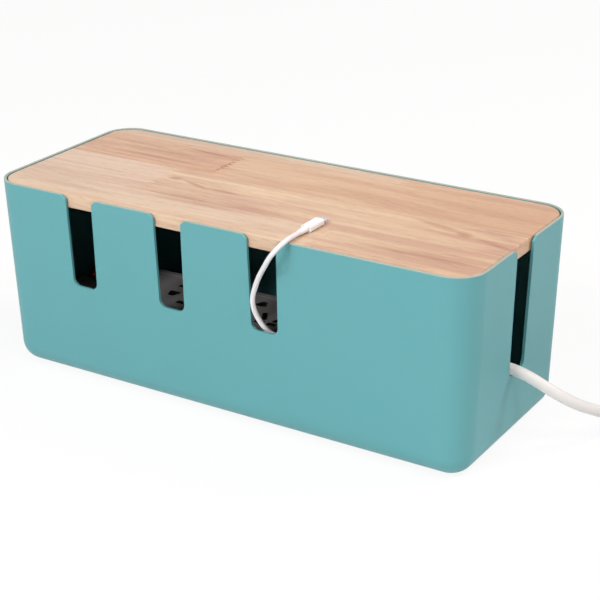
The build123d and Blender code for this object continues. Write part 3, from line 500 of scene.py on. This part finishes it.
@dataclass(frozen=True)
class LitRocker:
    """Translucent red polycarbonate with a small lamp behind it, whose glow is uneven.

    The glow changes over patches of patch_mm, from dimmest times its full strength upwards.
    """

    name: str
    colour: str
    glow: float
    lamp: str = "ff1a08"
    patch_mm: float = 6.0
    dimmest: float = 0.7
    roughness: float = 0.2
    ior: float = 1.58

    def material(self) -> bpy.types.Material:
        """Build the material.

        Returns:
            The material.
        """
        made = blank_material(self.name)
        tree = made.node_tree
        place = add_node(tree, "ShaderNodeTexCoord", {}, {})
        cloud = add_node(
            tree, "ShaderNodeTexNoise", {},
            {"Vector": place.outputs["Object"], "Scale": 1 / (self.patch_mm * MM), "Detail": 1.0},
        )
        strength = add_node(
            tree, "ShaderNodeMapRange", {},
            {"Value": cloud.outputs["Fac"], "To Min": self.glow * self.dimmest, "To Max": self.glow},
        )
        shader = add_node(
            tree, "ShaderNodeBsdfPrincipled", {},
            {
                "Base Color": linear(self.colour), "Roughness": self.roughness, "IOR": self.ior,
                "Emission Color": linear(self.lamp), "Emission Strength": strength.outputs[0],
            },
        )
        return surface(made, shader)


class Finish(Enum):
    """The finishes of the box's pieces, by their real materials."""

    # ABS moulded in a fine-sparked tool: an even, satin sea green, with a painted highlight along the rim
    TUB_ABS = MouldedPlastic(
        "tub_moulded_abs", "56999e", roughness=0.46, grit_mm=0.35, relief=0.05, mottle=0.02,
        rim=PaintedRimHighlight(height_mm=145.0),
    )
    # Natural rubber, moulded: matt, nearly black and a little uneven
    FOOT_RUBBER = MouldedPlastic("foot_rubber", "1e1e1e", roughness=0.85, grit_mm=0.5, relief=0.2)
    # Every stave is rubberwood, sawn and lacquered satin. This board is the palest and most even
    PALE_STAVE = LacqueredStave("rubberwood_pale", "d0b69e", "be9e85", shift=0.31)
    # The reddest board: open pores, brown streaks of heartwood and a dark line along its finger joint
    PINK_STAVE = LacqueredStave(
        "rubberwood_pink", "caa282", "b08566", shift=1.73, pores=replace(OPEN_PORES, depth=0.35),
        streaks=(
            Streak(-88.0, 52.5, 34.0, 2.4, -5.0, 0.55), Streak(-126.0, 25.5, 70.0, 4.0, 0.0, 0.5),
            Streak(-140.0, 18.0, 60.0, 2.6, 1.0, 0.35), Streak(-130.0, 39.0, 60.0, 3.0, -1.0, 0.3),
            Streak(-63.5, 34.0, 3.6, 27.0, 0.0, 0.75),
        ),
    )
    # A warm, quiet board that darkens a little towards its right end
    WARM_STAVE = LacqueredStave(
        "rubberwood_warm", "cbaa89", "b99273", shift=2.47,
        streaks=(Streak(190.0, 35.0, 170.0, 110.0, 0.0, 0.24),),
    )
    # A livelier board: two small knots, brown streaks that run out of them and a darker right end
    LONG_STAVE = LacqueredStave(
        "rubberwood_long", "d3b996", "b9937b", shift=4.09,
        streaks=(
            Streak(-79.0, -8.0, 9.0, 4.6, 6.0, 0.6), Streak(-60.0, -11.5, 22.0, 3.4, -17.0, 0.6),
            Streak(-33.0, -15.0, 22.0, 3.2, -3.0, 0.5),
            Streak(-44.0, -38.5, 60.0, 11.0, 2.0, 0.38), Streak(6.0, -36.0, 40.0, 12.0, -4.0, 0.34),
            Streak(128.0, 1.0, 34.0, 4.6, -14.0, 0.45), Streak(152.0, -7.0, 10.0, 8.0, -20.0, 0.5),
            Streak(178.0, -13.0, 30.0, 4.6, -16.0, 0.4), Streak(152.0, -52.0, 80.0, 10.0, 1.0, 0.4),
            Streak(190.0, -20.0, 150.0, 120.0, 0.0, 0.22),
        ),
    )
    # A light board with two long, faint streaks
    FRONT_STAVE = LacqueredStave(
        "rubberwood_front", "ceb69c", "bf9e82", shift=5.21,
        streaks=(Streak(-34.0, -44.0, 60.0, 6.0, 2.0, 0.3), Streak(-140.0, -58.0, 60.0, 4.0, 0.0, 0.2)),
    )
    # ABS for electrical housings, from a sparked tool: satin and grainy. The real plastic is charcoal; this
    # grey is lighter, painted light that makes up for the little light reaching it in the box
    STRIP_ABS = MouldedPlastic("strip_charcoal_abs", "949091", roughness=0.5, grit_mm=0.5, relief=0.15)
    # Black polycarbonate liners, moulded and satin: painted shade, a dark sheet that stands for the shade
    # inside each pin hole
    PIN_HOLE_SHADE = MouldedPlastic(
        "liner_painted_shade", "0a0a0a", roughness=0.5, grit_mm=0.4, relief=0.05
    )
    # Black polycarbonate from a polished tool: a glossy frame round the rocker
    SWITCH_BLACK = MouldedPlastic(
        "switch_black_polycarbonate", "141414", roughness=0.3, grit_mm=0.4, relief=0.03
    )
    # Red polycarbonate from a polished tool: deep red, with a dim glow from the lamp behind it
    ROCKER_RED = LitRocker("rocker_red_polycarbonate", "7a0c08", glow=0.08)
    # Stamped brass strip: yellow, a little dull
    CONTACT_BRASS = SheetMetal("contact_brass", "c9a35a", roughness=0.3)
    # Milled and polished brass: paler and brighter
    PIN_BRASS = SheetMetal("pin_brass", "d6bd7c", roughness=0.22)
    # Steel strip, plated with nickel: a bright, neutral grey
    NICKEL_STEEL = SheetMetal("nickel_plated_steel", "c9c9cc", roughness=0.25)
    # Cold-formed steel, plated with zinc: a duller grey
    SCREW_STEEL = SheetMetal("zinc_plated_steel", "9fa0a4", roughness=0.35)
    # Glass-filled epoxy under a solder mask: satin, dark green
    BOARD = MouldedPlastic("glass_epoxy_board", "12502a", roughness=0.35, grit_mm=0.6, relief=0.1)
    # PVC, extruded: a soft, satin off-white
    SHEATH = MouldedPlastic(
        "white_pvc_sheath", "d5d5d3", roughness=0.42, grit_mm=0.3, relief=0.05, mottle=0.015
    )
    # Elastomer, extruded: whiter and more matt
    LEAD_SHEATH = MouldedPlastic(
        "white_elastomer_sheath", "dfdcde", roughness=0.5, grit_mm=0.3, relief=0.05, mottle=0.015
    )
    # White polycarbonate from a polished tool: cool and glossy
    PLUG_WHITE = MouldedPlastic(
        "white_polycarbonate", "e4e6e8", roughness=0.3, grit_mm=0.4, relief=0.02, mottle=0.01
    )
    # White nylon, moulded: faintly yellow, without gloss
    TONGUE = MouldedPlastic("white_nylon", "dededa", roughness=0.5, grit_mm=0.4, relief=0.05)
    # Ribbed nylon strap: matt, with a coarse relief
    TIE = MouldedPlastic("white_nylon_strap", "e2e2df", roughness=0.6, grit_mm=0.5, relief=0.2)


class Palette:
    """Builds each finish's material once and hands it out."""

    def __init__(self) -> None:
        """Start with nothing made."""
        self._made: dict[Finish, bpy.types.Material] = {}

    def get(self, finish: Finish) -> bpy.types.Material:
        """Hand out a finish's material.

        Args:
            finish: The finish.

        Returns:
            Its material, built when it is first asked for.
        """
        if finish not in self._made:
            self._made[finish] = finish.value.material()
        return self._made[finish]

    def dress(self, node: str, finish: Finish) -> None:
        """Give a CAD node one finish all over.

        Args:
            node: The node's name.
            finish: The finish it gets.
        """
        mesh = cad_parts[node].data
        mesh.materials.clear()
        mesh.materials.append(self.get(finish))
        LOG.info("dressed %s in %s", node, finish.name)


def add_piece(name: str, shape: bmesh.types.BMesh, material: bpy.types.Material) -> bpy.types.Object:
    """Turn a bmesh into a finished object, shaded smooth except across its sharp edges.

    Args:
        name: The new object's name.
        shape: The mesh, in place in the row frame; it is freed.
        material: Its one material.

    Returns:
        The object, linked to the scene.
    """
    bmesh.ops.recalc_face_normals(shape, faces=shape.faces)
    mesh = bpy.data.meshes.new(name)
    shape.to_mesh(mesh)
    shape.free()
    mesh.materials.append(material)
    mesh.shade_smooth()
    mesh.set_sharp_from_angle(angle=math.radians(SHARP_EDGE))
    piece = bpy.data.objects.new(name, mesh)
    bpy.context.scene.collection.objects.link(piece)
    LOG.info("built %s: %d faces", name, len(mesh.polygons))
    return piece


def add_cord(
    name: str, route: list[Point], diameter: float, material: bpy.types.Material
) -> bpy.types.Object:
    """Lay a round cord along a smooth line.

    Args:
        name: The new object's name.
        route: The control points of the cord's centre line, in metres.
        diameter: The cord's diameter, in metres.
        material: Its sheath.

    Returns:
        A curve object with one open spline.
    """
    curve = bpy.data.curves.new(name, "CURVE")
    curve.dimensions = "3D"
    curve.bevel_depth = diameter / 2
    curve.bevel_resolution = 5
    curve.resolution_u = 6
    curve.use_fill_caps = True
    spline = curve.splines.new("NURBS")
    spline.points.add(len(route) - 1)
    for point, place in zip(spline.points, route):
        point.co = (*place, 1.0)
    spline.order_u = 3
    spline.use_endpoint_u = True
    curve.materials.append(material)
    cord = bpy.data.objects.new(name, curve)
    bpy.context.scene.collection.objects.link(cord)
    LOG.info("laid %s through %d points", name, len(route))
    return cord


def millimetres(route: list[Point]) -> list[Point]:
    """Turn points given in millimetres into metres."""
    return [tuple(value * MM for value in point) for point in route]


@dataclass
class Tub:
    """The moulded tub and its feet."""

    palette: Palette
    corners: tuple[str, ...] = ("front_left", "front_right", "rear_left", "rear_right")

    def build(self) -> None:
        """Dress the shell and the feet."""
        self.palette.dress("box_shell", Finish.TUB_ABS)
        for corner in self.corners:
            self.palette.dress(f"foot_{corner}", Finish.FOOT_RUBBER)


class Row(Enum):
    """The lid's rows of staves, from the rear."""

    REAR = "rear"
    BACK = "back"
    MIDDLE = "middle"
    FRONT = "front"


class Side(Enum):
    """The two staves of a row, either side of its finger joint."""

    LEFT = "left"
    RIGHT = "right"


@dataclass
class Lid:
    """The lid's staves, with a finger joint in every row and a broken edge along every seam.

    The corner is the radius of the lid's outline, the arris the rounding of its upper and lower edges.
    The corner slack is how far an edge of the faceted corner may lie inside the true round, and the
    tilt slack how far the Z of a face's normal may be off zero or one.
    """

    palette: Palette
    corner: float = 18.7 * MM
    corner_segments: int = 14
    arris: float = 1.2 * MM
    arris_segments: int = 4
    seam_break: float = 0.18 * MM
    corner_slack: float = 0.2 * MM
    tilt_slack: float = 0.01
    finger_pitch: float = 5.0 * MM
    finger_length: float = 7.0 * MM
    finishes: dict[tuple[Row, Side], Finish] = field(
        default_factory=lambda: {
            (Row.REAR, Side.LEFT): Finish.FRONT_STAVE,
            (Row.REAR, Side.RIGHT): Finish.WARM_STAVE,
            (Row.BACK, Side.LEFT): Finish.PINK_STAVE,
            (Row.BACK, Side.RIGHT): Finish.WARM_STAVE,
            (Row.MIDDLE, Side.LEFT): Finish.PALE_STAVE,
            (Row.MIDDLE, Side.RIGHT): Finish.LONG_STAVE,
            (Row.FRONT, Side.LEFT): Finish.FRONT_STAVE,
            (Row.FRONT, Side.RIGHT): Finish.LONG_STAVE,
        }
    )

    def build(self) -> None:
        """Build every stave in the place of its CAD node."""
        low, high = self._limits()
        for row in Row:
            for side in Side:
                self._stave(row, side, low, high)

    def _limits(self) -> tuple[Vector, Vector]:
        """Find the box round all staves.

        Returns:
            The lid's lowest and highest corners.
        """
        boxes = [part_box(f"stave_{row.value}_{side.value}") for row in Row for side in Side]
        low = Vector(min(box[0][axis] for box in boxes) for axis in range(3))
        high = Vector(max(box[1][axis] for box in boxes) for axis in range(3))
        return low, high

    def _stave(self, row: Row, side: Side, low: Vector, high: Vector) -> None:
        """Build one stave.

        Args:
            row: The stave's row.
            side: The stave's side of the finger joint.
            low: The lid's lowest corner.
            high: The lid's highest corner.
        """
        node = f"stave_{row.value}_{side.value}"
        own_low, own_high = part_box(node)
        if side is Side.LEFT:
            joint = own_high.x - self.finger_length / 2
        else:
            joint = own_low.x + self.finger_length / 2
        shape = self._outline(low, high)
        if row is not Row.FRONT:
            self._cut(shape, (0, own_low.y, 0), (0, -1, 0))
        if row is not Row.REAR:
            self._cut(shape, (0, own_high.y, 0), (0, 1, 0))
        self._cut(shape, (joint, 0, 0), (1, 0, 0) if side is Side.LEFT else (-1, 0, 0))
        self._cut_fingers(shape, joint)
        self._thicken(shape, own_low.z, own_high.z)
        self._round_outside(shape, low, high)
        self._break_seams(shape)
        piece = add_piece(f"lid_{node}", shape, self.palette.get(self.finishes[row, side]))
        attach(piece, "lid")
        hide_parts(node)

    def _outline(self, low: Vector, high: Vector) -> bmesh.types.BMesh:
        """Draw the lid's outline with its rounded corners.

        Args:
            low: The lid's lowest corner.
            high: The lid's highest corner.

        Returns:
            The outline as one flat face at height zero.
        """
        shape = bmesh.new()
        bmesh.ops.create_grid(shape, x_segments=1, y_segments=1, size=0.5)
        bmesh.ops.scale(shape, vec=(high.x - low.x, high.y - low.y, 1), verts=shape.verts)
        bmesh.ops.translate(shape, vec=((low.x + high.x) / 2, (low.y + high.y) / 2, 0), verts=shape.verts)
        bmesh.ops.bevel(
            shape, geom=shape.verts[:], offset=self.corner, offset_type="OFFSET",
            segments=self.corner_segments, profile=0.5, affect="VERTICES", material=-1,
        )
        return shape

    @staticmethod
    def _cut(shape: bmesh.types.BMesh, place: Point, outward: Point) -> None:
        """Cut the shape at a plane and drop what lies outward of it."""
        everything = shape.verts[:] + shape.edges[:] + shape.faces[:]
        bmesh.ops.bisect_plane(shape, geom=everything, plane_co=place, plane_no=outward, clear_outer=True)

    def _cut_fingers(self, shape: bmesh.types.BMesh, joint: float) -> None:
        """Turn the straight edge at the joint into the fingers' zigzag.

        Args:
            shape: The stave's flat outline, cut off at the joint.
            joint: The joint's place along X.
        """
        edge = next(e for e in shape.edges if all(abs(v.co.x - joint) < SAME_PLACE for v in e.verts))
        fingers = max(2, round(edge.calc_length() / self.finger_pitch))
        bmesh.ops.subdivide_edges(shape, edges=[edge], cuts=2 * fingers - 1)
        teeth = sorted((v for v in shape.verts if abs(v.co.x - joint) < SAME_PLACE), key=lambda v: v.co.y)
        for index, tooth in enumerate(teeth):
            tooth.co.x += self.finger_length * (0.5 if index % 2 else -0.5)

    @staticmethod
    def _thicken(shape: bmesh.types.BMesh, low_z: float, high_z: float) -> None:
        """Extrude the flat outline.

        Args:
            shape: The stave's flat outline.
            low_z: The height of its underside.
            high_z: The height of its top.
        """
        bmesh.ops.translate(shape, vec=(0, 0, low_z), verts=shape.verts)
        raised = bmesh.ops.extrude_face_region(shape, geom=shape.faces[:])["geom"]
        top = [item for item in raised if isinstance(item, bmesh.types.BMVert)]
        bmesh.ops.translate(shape, vec=(0, 0, high_z - low_z), verts=top)
        bmesh.ops.recalc_face_normals(shape, faces=shape.faces)

    def _round_outside(self, shape: bmesh.types.BMesh, low: Vector, high: Vector) -> None:
        """Round the upper and lower edges that lie on the lid's own outline.

        An edge is one of them if both its ends and, but for the corner slack, its middle are there.

        Args:
            shape: The stave.
            low: The lid's lowest corner.
            high: The lid's highest corner.
        """
        half_x, half_y = (high.x - low.x) / 2, (high.y - low.y) / 2
        rim = []
        for edge in shape.edges:
            if abs(edge.verts[0].co.z - edge.verts[1].co.z) > SAME_PLACE:
                continue
            ends = [self._depth(v.co.x, v.co.y, half_x, half_y) for v in edge.verts]
            middle = (edge.verts[0].co + edge.verts[1].co) / 2
            inside = self._depth(middle.x, middle.y, half_x, half_y)
            if max(ends) < ON_OUTLINE and inside < self.corner_slack:
                rim.append(edge)
        bmesh.ops.bevel(
            shape, geom=rim, offset=self.arris, offset_type="OFFSET", segments=self.arris_segments,
            profile=0.5, affect="EDGES", material=-1,
        )

    def _depth(self, x: float, y: float, half_x: float, half_y: float) -> float:
        """Measure how far inside the lid's outline a point lies.

        Args:
            x: The point's place along X.
            y: The point's place along Y.
            half_x: Half the lid's length.
            half_y: Half the lid's width.

        Returns:
            The distance to the outline.
        """
        over_x = abs(x) - (half_x - self.corner)
        over_y = abs(y) - (half_y - self.corner)
        if over_x > 0 and over_y > 0:
            return self.corner - math.hypot(over_x, over_y)
        return self.corner - max(over_x, over_y)

    def _break_seams(self, shape: bmesh.types.BMesh) -> None:
        """Take the sharpness off the upper edges that meet the next stave.

        Args:
            shape: The stave.
        """
        shape.normal_update()
        top = max(vert.co.z for vert in shape.verts) - SAME_PLACE
        seams = []
        for edge in shape.edges:
            lifts = sorted(abs(face.normal.z) for face in edge.link_faces)
            at_top = all(vert.co.z > top for vert in edge.verts)
            if len(lifts) != 2 or not at_top:
                continue
            if lifts[0] < self.tilt_slack and lifts[1] > 1 - self.tilt_slack:
                seams.append(edge)
        bmesh.ops.bevel(
            shape, geom=seams, offset=self.seam_break, offset_type="OFFSET", segments=1, profile=0.5,
            affect="EDGES", material=-1,
        )


@dataclass
class PowerStrip:
    """The power strip inside the tub."""

    palette: Palette
    finishes: dict[str, Finish] = field(
        default_factory=lambda: {
            "strip_base": Finish.STRIP_ABS,
            "strip_cover": Finish.STRIP_ABS,
            "strip_pads": Finish.FOOT_RUBBER,
            "strip_screws": Finish.SCREW_STEEL,
            # Painted shade inside the pin holes
            "socket_liners": Finish.PIN_HOLE_SHADE,
            "live_bar": Finish.CONTACT_BRASS,
            "neutral_bar": Finish.CONTACT_BRASS,
            "earth_bar": Finish.CONTACT_BRASS,
            "switch_housing": Finish.SWITCH_BLACK,
            "switch_rocker": Finish.ROCKER_RED,
            "switch_terminals": Finish.CONTACT_BRASS,
            "usb_outlet_shells": Finish.NICKEL_STEEL,
            "usb_outlet_tongues": Finish.TONGUE,
            "usb_board": Finish.BOARD,
            "cord_gland": Finish.SHEATH,
        }
    )

    def build(self) -> None:
        """Dress the strip's nodes."""
        for node, finish in self.finishes.items():
            self.palette.dress(node, finish)


@dataclass
class MainsLead:
    """The mains lead: out of the end slot, down to the floor, wound into a coil, and its plug.

    The coil has an inner and an outer turn in each of its layers, and step is the angle between its
    control points, in degrees.
    """

    palette: Palette
    diameter: float = 8.0 * MM
    length: float = 1.5
    run_out: list[Point] = field(
        default_factory=lambda: millimetres([
            (118.0, -8.0, 32.0), (131.2, -8.0, 32.0), (150.2, -8.6, 43.6), (165.0, -8.2, 54.6),
            (181.8, -6.9, 58.8), (199.0, -5.4, 55.6), (216.5, -0.4, 45.2), (228.3, 12.2, 33.4),
            (237.1, 28.1, 24.2), (243.5, 45.0, 14.5), (246.3, 60.5, 7.0), (246.5, 77.0, 4.1),
        ])
    )
    run_to_plug: list[Point] = field(
        default_factory=lambda: millimetres([
            (339.2, 80.0, 12.2), (343.0, 61.5, 8.6), (347.3, 43.5, 7.6), (350.0, 26.0, 13.0),
            (350.0, 9.0, 13.0),
        ])
    )
    coil_centre: tuple[float, float] = (292.5 * MM, 96.0 * MM)
    inner_turn: float = 38.0 * MM
    outer_turn: float = 46.0 * MM
    first_layer: float = 4.1 * MM
    layer_rise: float = 8.1 * MM
    step: float = 18.0

    def build(self) -> None:
        """Lay the lead and dress its plug and tie."""
        route = self.run_out + self._coil() + self.run_to_plug
        lead = add_cord("mains_lead", route, self.diameter, self.palette.get(Finish.SHEATH))
        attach(lead, "box")
        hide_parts("mains_cord", "mains_coil", "mains_tail")
        self.palette.dress("plug_body", Finish.PLUG_WHITE)
        self.palette.dress("plug_pins", Finish.PIN_BRASS)
        self.palette.dress("coil_tie", Finish.TIE)

    def _coil(self) -> list[Point]:
        """Wind the coil, clockwise from the side where the lead comes in.

        The stations say at which angle, in degrees, the turns have which radius and height. The turns
        change radius or layer over a short stretch, each stretch before the last one, so that no turn
        runs into another. The cord's line is drawn inside its control points, so they stand further out.

        Returns:
            The coil's control points.
        """
        inner, outer = self.inner_turn, self.outer_turn
        lower, middle, upper = (self.first_layer + index * self.layer_rise for index in range(3))
        stations = [
            (0.0, outer, lower), (300.0, outer, lower), (350.0, inner, lower),
            (610.0, inner, lower), (660.0, inner, middle), (920.0, inner, middle),
            (970.0, inner, upper), (1230.0, inner, upper), (1280.0, outer, upper),
            (1540.0, outer, upper), (1590.0, outer, middle), (1620.0, outer, middle),
        ]
        drawn_in = (1 + math.cos(math.radians(self.step))) / 2
        points = []
        count = round(stations[-1][0] / self.step)
        for index in range(count + 1):
            angle = index * self.step
            radius, height = self._between(stations, angle)
            turn = math.radians(angle)
            reach = radius / drawn_in
            x = self.coil_centre[0] - reach * math.cos(turn)
            y = self.coil_centre[1] + reach * math.sin(turn)
            points.append((x, y, height))
        return points

    @staticmethod
    def _between(stations: list[tuple[float, float, float]], angle: float) -> tuple[float, float]:
        """Find the radius and height at an angle, eased between the stations either side of it.

        Args:
            stations: Angles in degrees, each with its radius and height.
            angle: The angle.

        Returns:
            The radius and the height.
        """
        for (start, radius, height), (end, next_radius, next_height) in zip(stations, stations[1:]):
            if angle <= end:
                share = (angle - start) / (end - start)
                eased = share * share * (3 - 2 * share)
                return radius + (next_radius - radius) * eased, height + (next_height - height) * eased
        return stations[-1][1], stations[-1][2]


@dataclass
class ChargingLead:
    """The short charging lead, from the strip's outlet over the rim to its connector on the lid."""

    palette: Palette
    diameter: float = 3.5 * MM
    length: float = 0.22
    route: list[Point] = field(
        default_factory=lambda: millimetres([
            (81.2, 7.0, 79.5), (81.2, 7.0, 90.5), (78.8, -0.4, 98.3), (75.4, -10.8, 98.3),
            (73.0, -18.2, 90.5), (71.3, -25.6, 82.8), (68.5, -33.5, 74.0), (63.0, -42.5, 67.5),
            (55.4, -51.1, 66.0), (47.1, -59.7, 68.0), (39.7, -67.9, 72.2), (35.4, -72.8, 81.2),
            (32.9, -76.7, 91.1), (33.7, -79.9, 100.9), (37.5, -81.8, 110.6), (42.3, -84.1, 120.1),
            (48.6, -87.1, 129.1), (54.7, -89.7, 138.1), (59.3, -85.9, 144.7), (61.4, -79.0, 147.8),
            (60.4, -71.3, 147.2), (60.4, -63.5, 147.2),
        ])
    )

    def build(self) -> None:
        """Lay the lead and dress its two plugs."""
        lead = add_cord("phone_lead", self.route, self.diameter, self.palette.get(Finish.LEAD_SHEATH))
        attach(lead, "lid")
        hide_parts("charging_lead")
        finishes = {
            "connector_housing": Finish.PLUG_WHITE,
            "connector_tip": Finish.NICKEL_STEEL,
            "usb_plug_body": Finish.PLUG_WHITE,
            "usb_plug_shell": Finish.NICKEL_STEEL,
        }
        for node, finish in finishes.items():
            self.palette.dress(node, finish)


@dataclass
class Camera:
    """The camera, in front of the box and to its right.

    Its turns are in radians. Focal length and film width are in millimetres, the rest in metres.
    """

    eye: Point = (0.57821, -0.88124, 0.51270)
    heading: float = 0.5641
    downward: float = 0.4031
    lean: float = -0.0118
    focal_length: float = 95.55
    film_width: float = 36.0
    reach: float = 20.0

    def build(self) -> None:
        """Place the camera."""
        data = bpy.data.cameras.new("camera")
        data.lens = self.focal_length
        data.sensor_width = self.film_width
        data.clip_end = self.reach
        camera = bpy.data.objects.new("camera", data)
        turn = Matrix.Rotation(self.heading, 4, "Z")
        tilt = Matrix.Rotation(math.pi / 2 - self.downward, 4, "X")
        roll = Matrix.Rotation(self.lean, 4, "Z")
        camera.matrix_world = Matrix.Translation(self.eye) @ turn @ tilt @ roll
        bpy.context.scene.collection.objects.link(camera)
        bpy.context.scene.camera = camera


def seen_directly(tree: bpy.types.NodeTree) -> bpy.types.Node:
    """Tell whether a ray shows the background: to the camera, in a reflection or through something clear.

    Args:
        tree: The node tree.

    Returns:
        The node whose first output is 1 for such a ray and 0 for one that carries light.
    """
    path = add_node(tree, "ShaderNodeLightPath", {}, {})
    through = add_node(
        tree, "ShaderNodeMath", {"operation": "MAXIMUM"},
        {0: path.outputs["Is Camera Ray"], 1: path.outputs["Is Transmission Ray"]},
    )
    return add_node(
        tree, "ShaderNodeMath", {"operation": "MAXIMUM"},
        {0: through.outputs[0], 1: path.outputs["Is Glossy Ray"]},
    )


@dataclass(frozen=True)
class SoftBox:
    """A square soft lamp that points at the box.

    The azimuth is counted from -Y towards +X and the elevation from the floor, both in degrees.
    Distance and size are in metres and the power in watts.
    """

    name: str
    azimuth: float
    elevation: float
    distance: float
    size: float
    power: float
    colour: str = "ffffff"
    aim: Point = (0.0, 0.0, 0.07)

    def build(self) -> None:
        """Hang the lamp."""
        data = bpy.data.lights.new(self.name, "AREA")
        data.size = self.size
        data.energy = self.power
        data.color = linear(self.colour)[:3]
        lamp = bpy.data.objects.new(self.name, data)
        aside, up = math.radians(self.azimuth), math.radians(self.elevation)
        towards = Vector((math.sin(aside) * math.cos(up), -math.cos(aside) * math.cos(up), math.sin(up)))
        lamp.location = Vector(self.aim) + towards * self.distance
        lamp.rotation_euler = (-towards).to_track_quat("-Z", "Y").to_euler()
        bpy.context.scene.collection.objects.link(lamp)


@dataclass
class Studio:
    """The lamps, the even light all round and the white floor.

    The lamps behind and to the right are a little warmer. The floor's glow is the share of plain white
    in what is seen of it, and the rest is its own lit surface, which keeps the box's shadow.
    """

    lamps: tuple[SoftBox, ...] = (
        SoftBox("left", azimuth=-22.0, elevation=38.0, distance=3.5, size=0.8, power=42.0),
        SoftBox("front", azimuth=-4.0, elevation=34.0, distance=3.5, size=0.6, power=50.0),
        SoftBox("corner", azimuth=42.0, elevation=57.0, distance=3.5, size=0.8, power=21.0),
        SoftBox("right", azimuth=72.0, elevation=50.0, distance=3.5, size=1.0, power=33.4, colour="fff0ec"),
        SoftBox("rear", azimuth=130.0, elevation=45.0, distance=3.5, size=1.2, power=63.3, colour="fff0ec"),
    )
    surround: float = 0.13
    floor_size: float = 6.0
    floor_colour: str = "f0f0f0"
    floor_glow: float = 0.89
    backdrop: str = "ffffff"

    def build(self) -> None:
        """Set up the light and the floor."""
        bpy.context.scene.view_settings.view_transform = "Standard"
        for lamp in self.lamps:
            lamp.build()
        self._world()
        self._floor()

    def _world(self) -> None:
        """Surround the box with even light, seen as plain white by the camera and in reflections."""
        world = bpy.data.worlds.new("white_surround")
        bpy.context.scene.world = world
        world.use_nodes = True
        tree = world.node_tree
        tree.nodes.clear()
        white = linear(self.backdrop)
        lit = add_node(tree, "ShaderNodeBackground", {}, {"Color": white, "Strength": self.surround})
        seen = add_node(tree, "ShaderNodeBackground", {}, {"Color": white, "Strength": 1.0})
        mix = add_node(
            tree, "ShaderNodeMixShader", {},
            {0: seen_directly(tree).outputs[0], 1: lit.outputs[0], 2: seen.outputs[0]},
        )
        add_node(tree, "ShaderNodeOutputWorld", {}, {"Surface": mix.outputs[0]})

    def _floor(self) -> None:
        """Lay the floor."""
        shape = bmesh.new()
        bmesh.ops.create_grid(shape, x_segments=1, y_segments=1, size=self.floor_size / 2)
        made = blank_material("white_floor")
        tree = made.node_tree
        matt = add_node(tree, "ShaderNodeBsdfDiffuse", {}, {"Color": linear(self.floor_colour)})
        white = add_node(tree, "ShaderNodeEmission", {}, {"Color": linear(self.backdrop), "Strength": 1.0})
        share = add_node(
            tree, "ShaderNodeMath", {"operation": "MULTIPLY"},
            {0: seen_directly(tree).outputs[0], 1: self.floor_glow},
        )
        mix = add_node(
            tree, "ShaderNodeMixShader", {}, {0: share.outputs[0], 1: matt.outputs[0], 2: white.outputs[0]}
        )
        surface(made, mix)
        add_piece("floor", shape, made)


def main() -> None:
    """Build every part of the scene in order."""
    logging.basicConfig(level=logging.INFO, format="%(name)s: %(message)s")
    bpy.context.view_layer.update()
    palette = Palette()
    for part in (
        Camera(), MainsLead(palette), ChargingLead(palette), Studio(), Tub(palette), Lid(palette),
        PowerStrip(palette),
    ):
        part.build()
    bpy.context.view_layer.update()


if __name__ == "__main__":
    main()
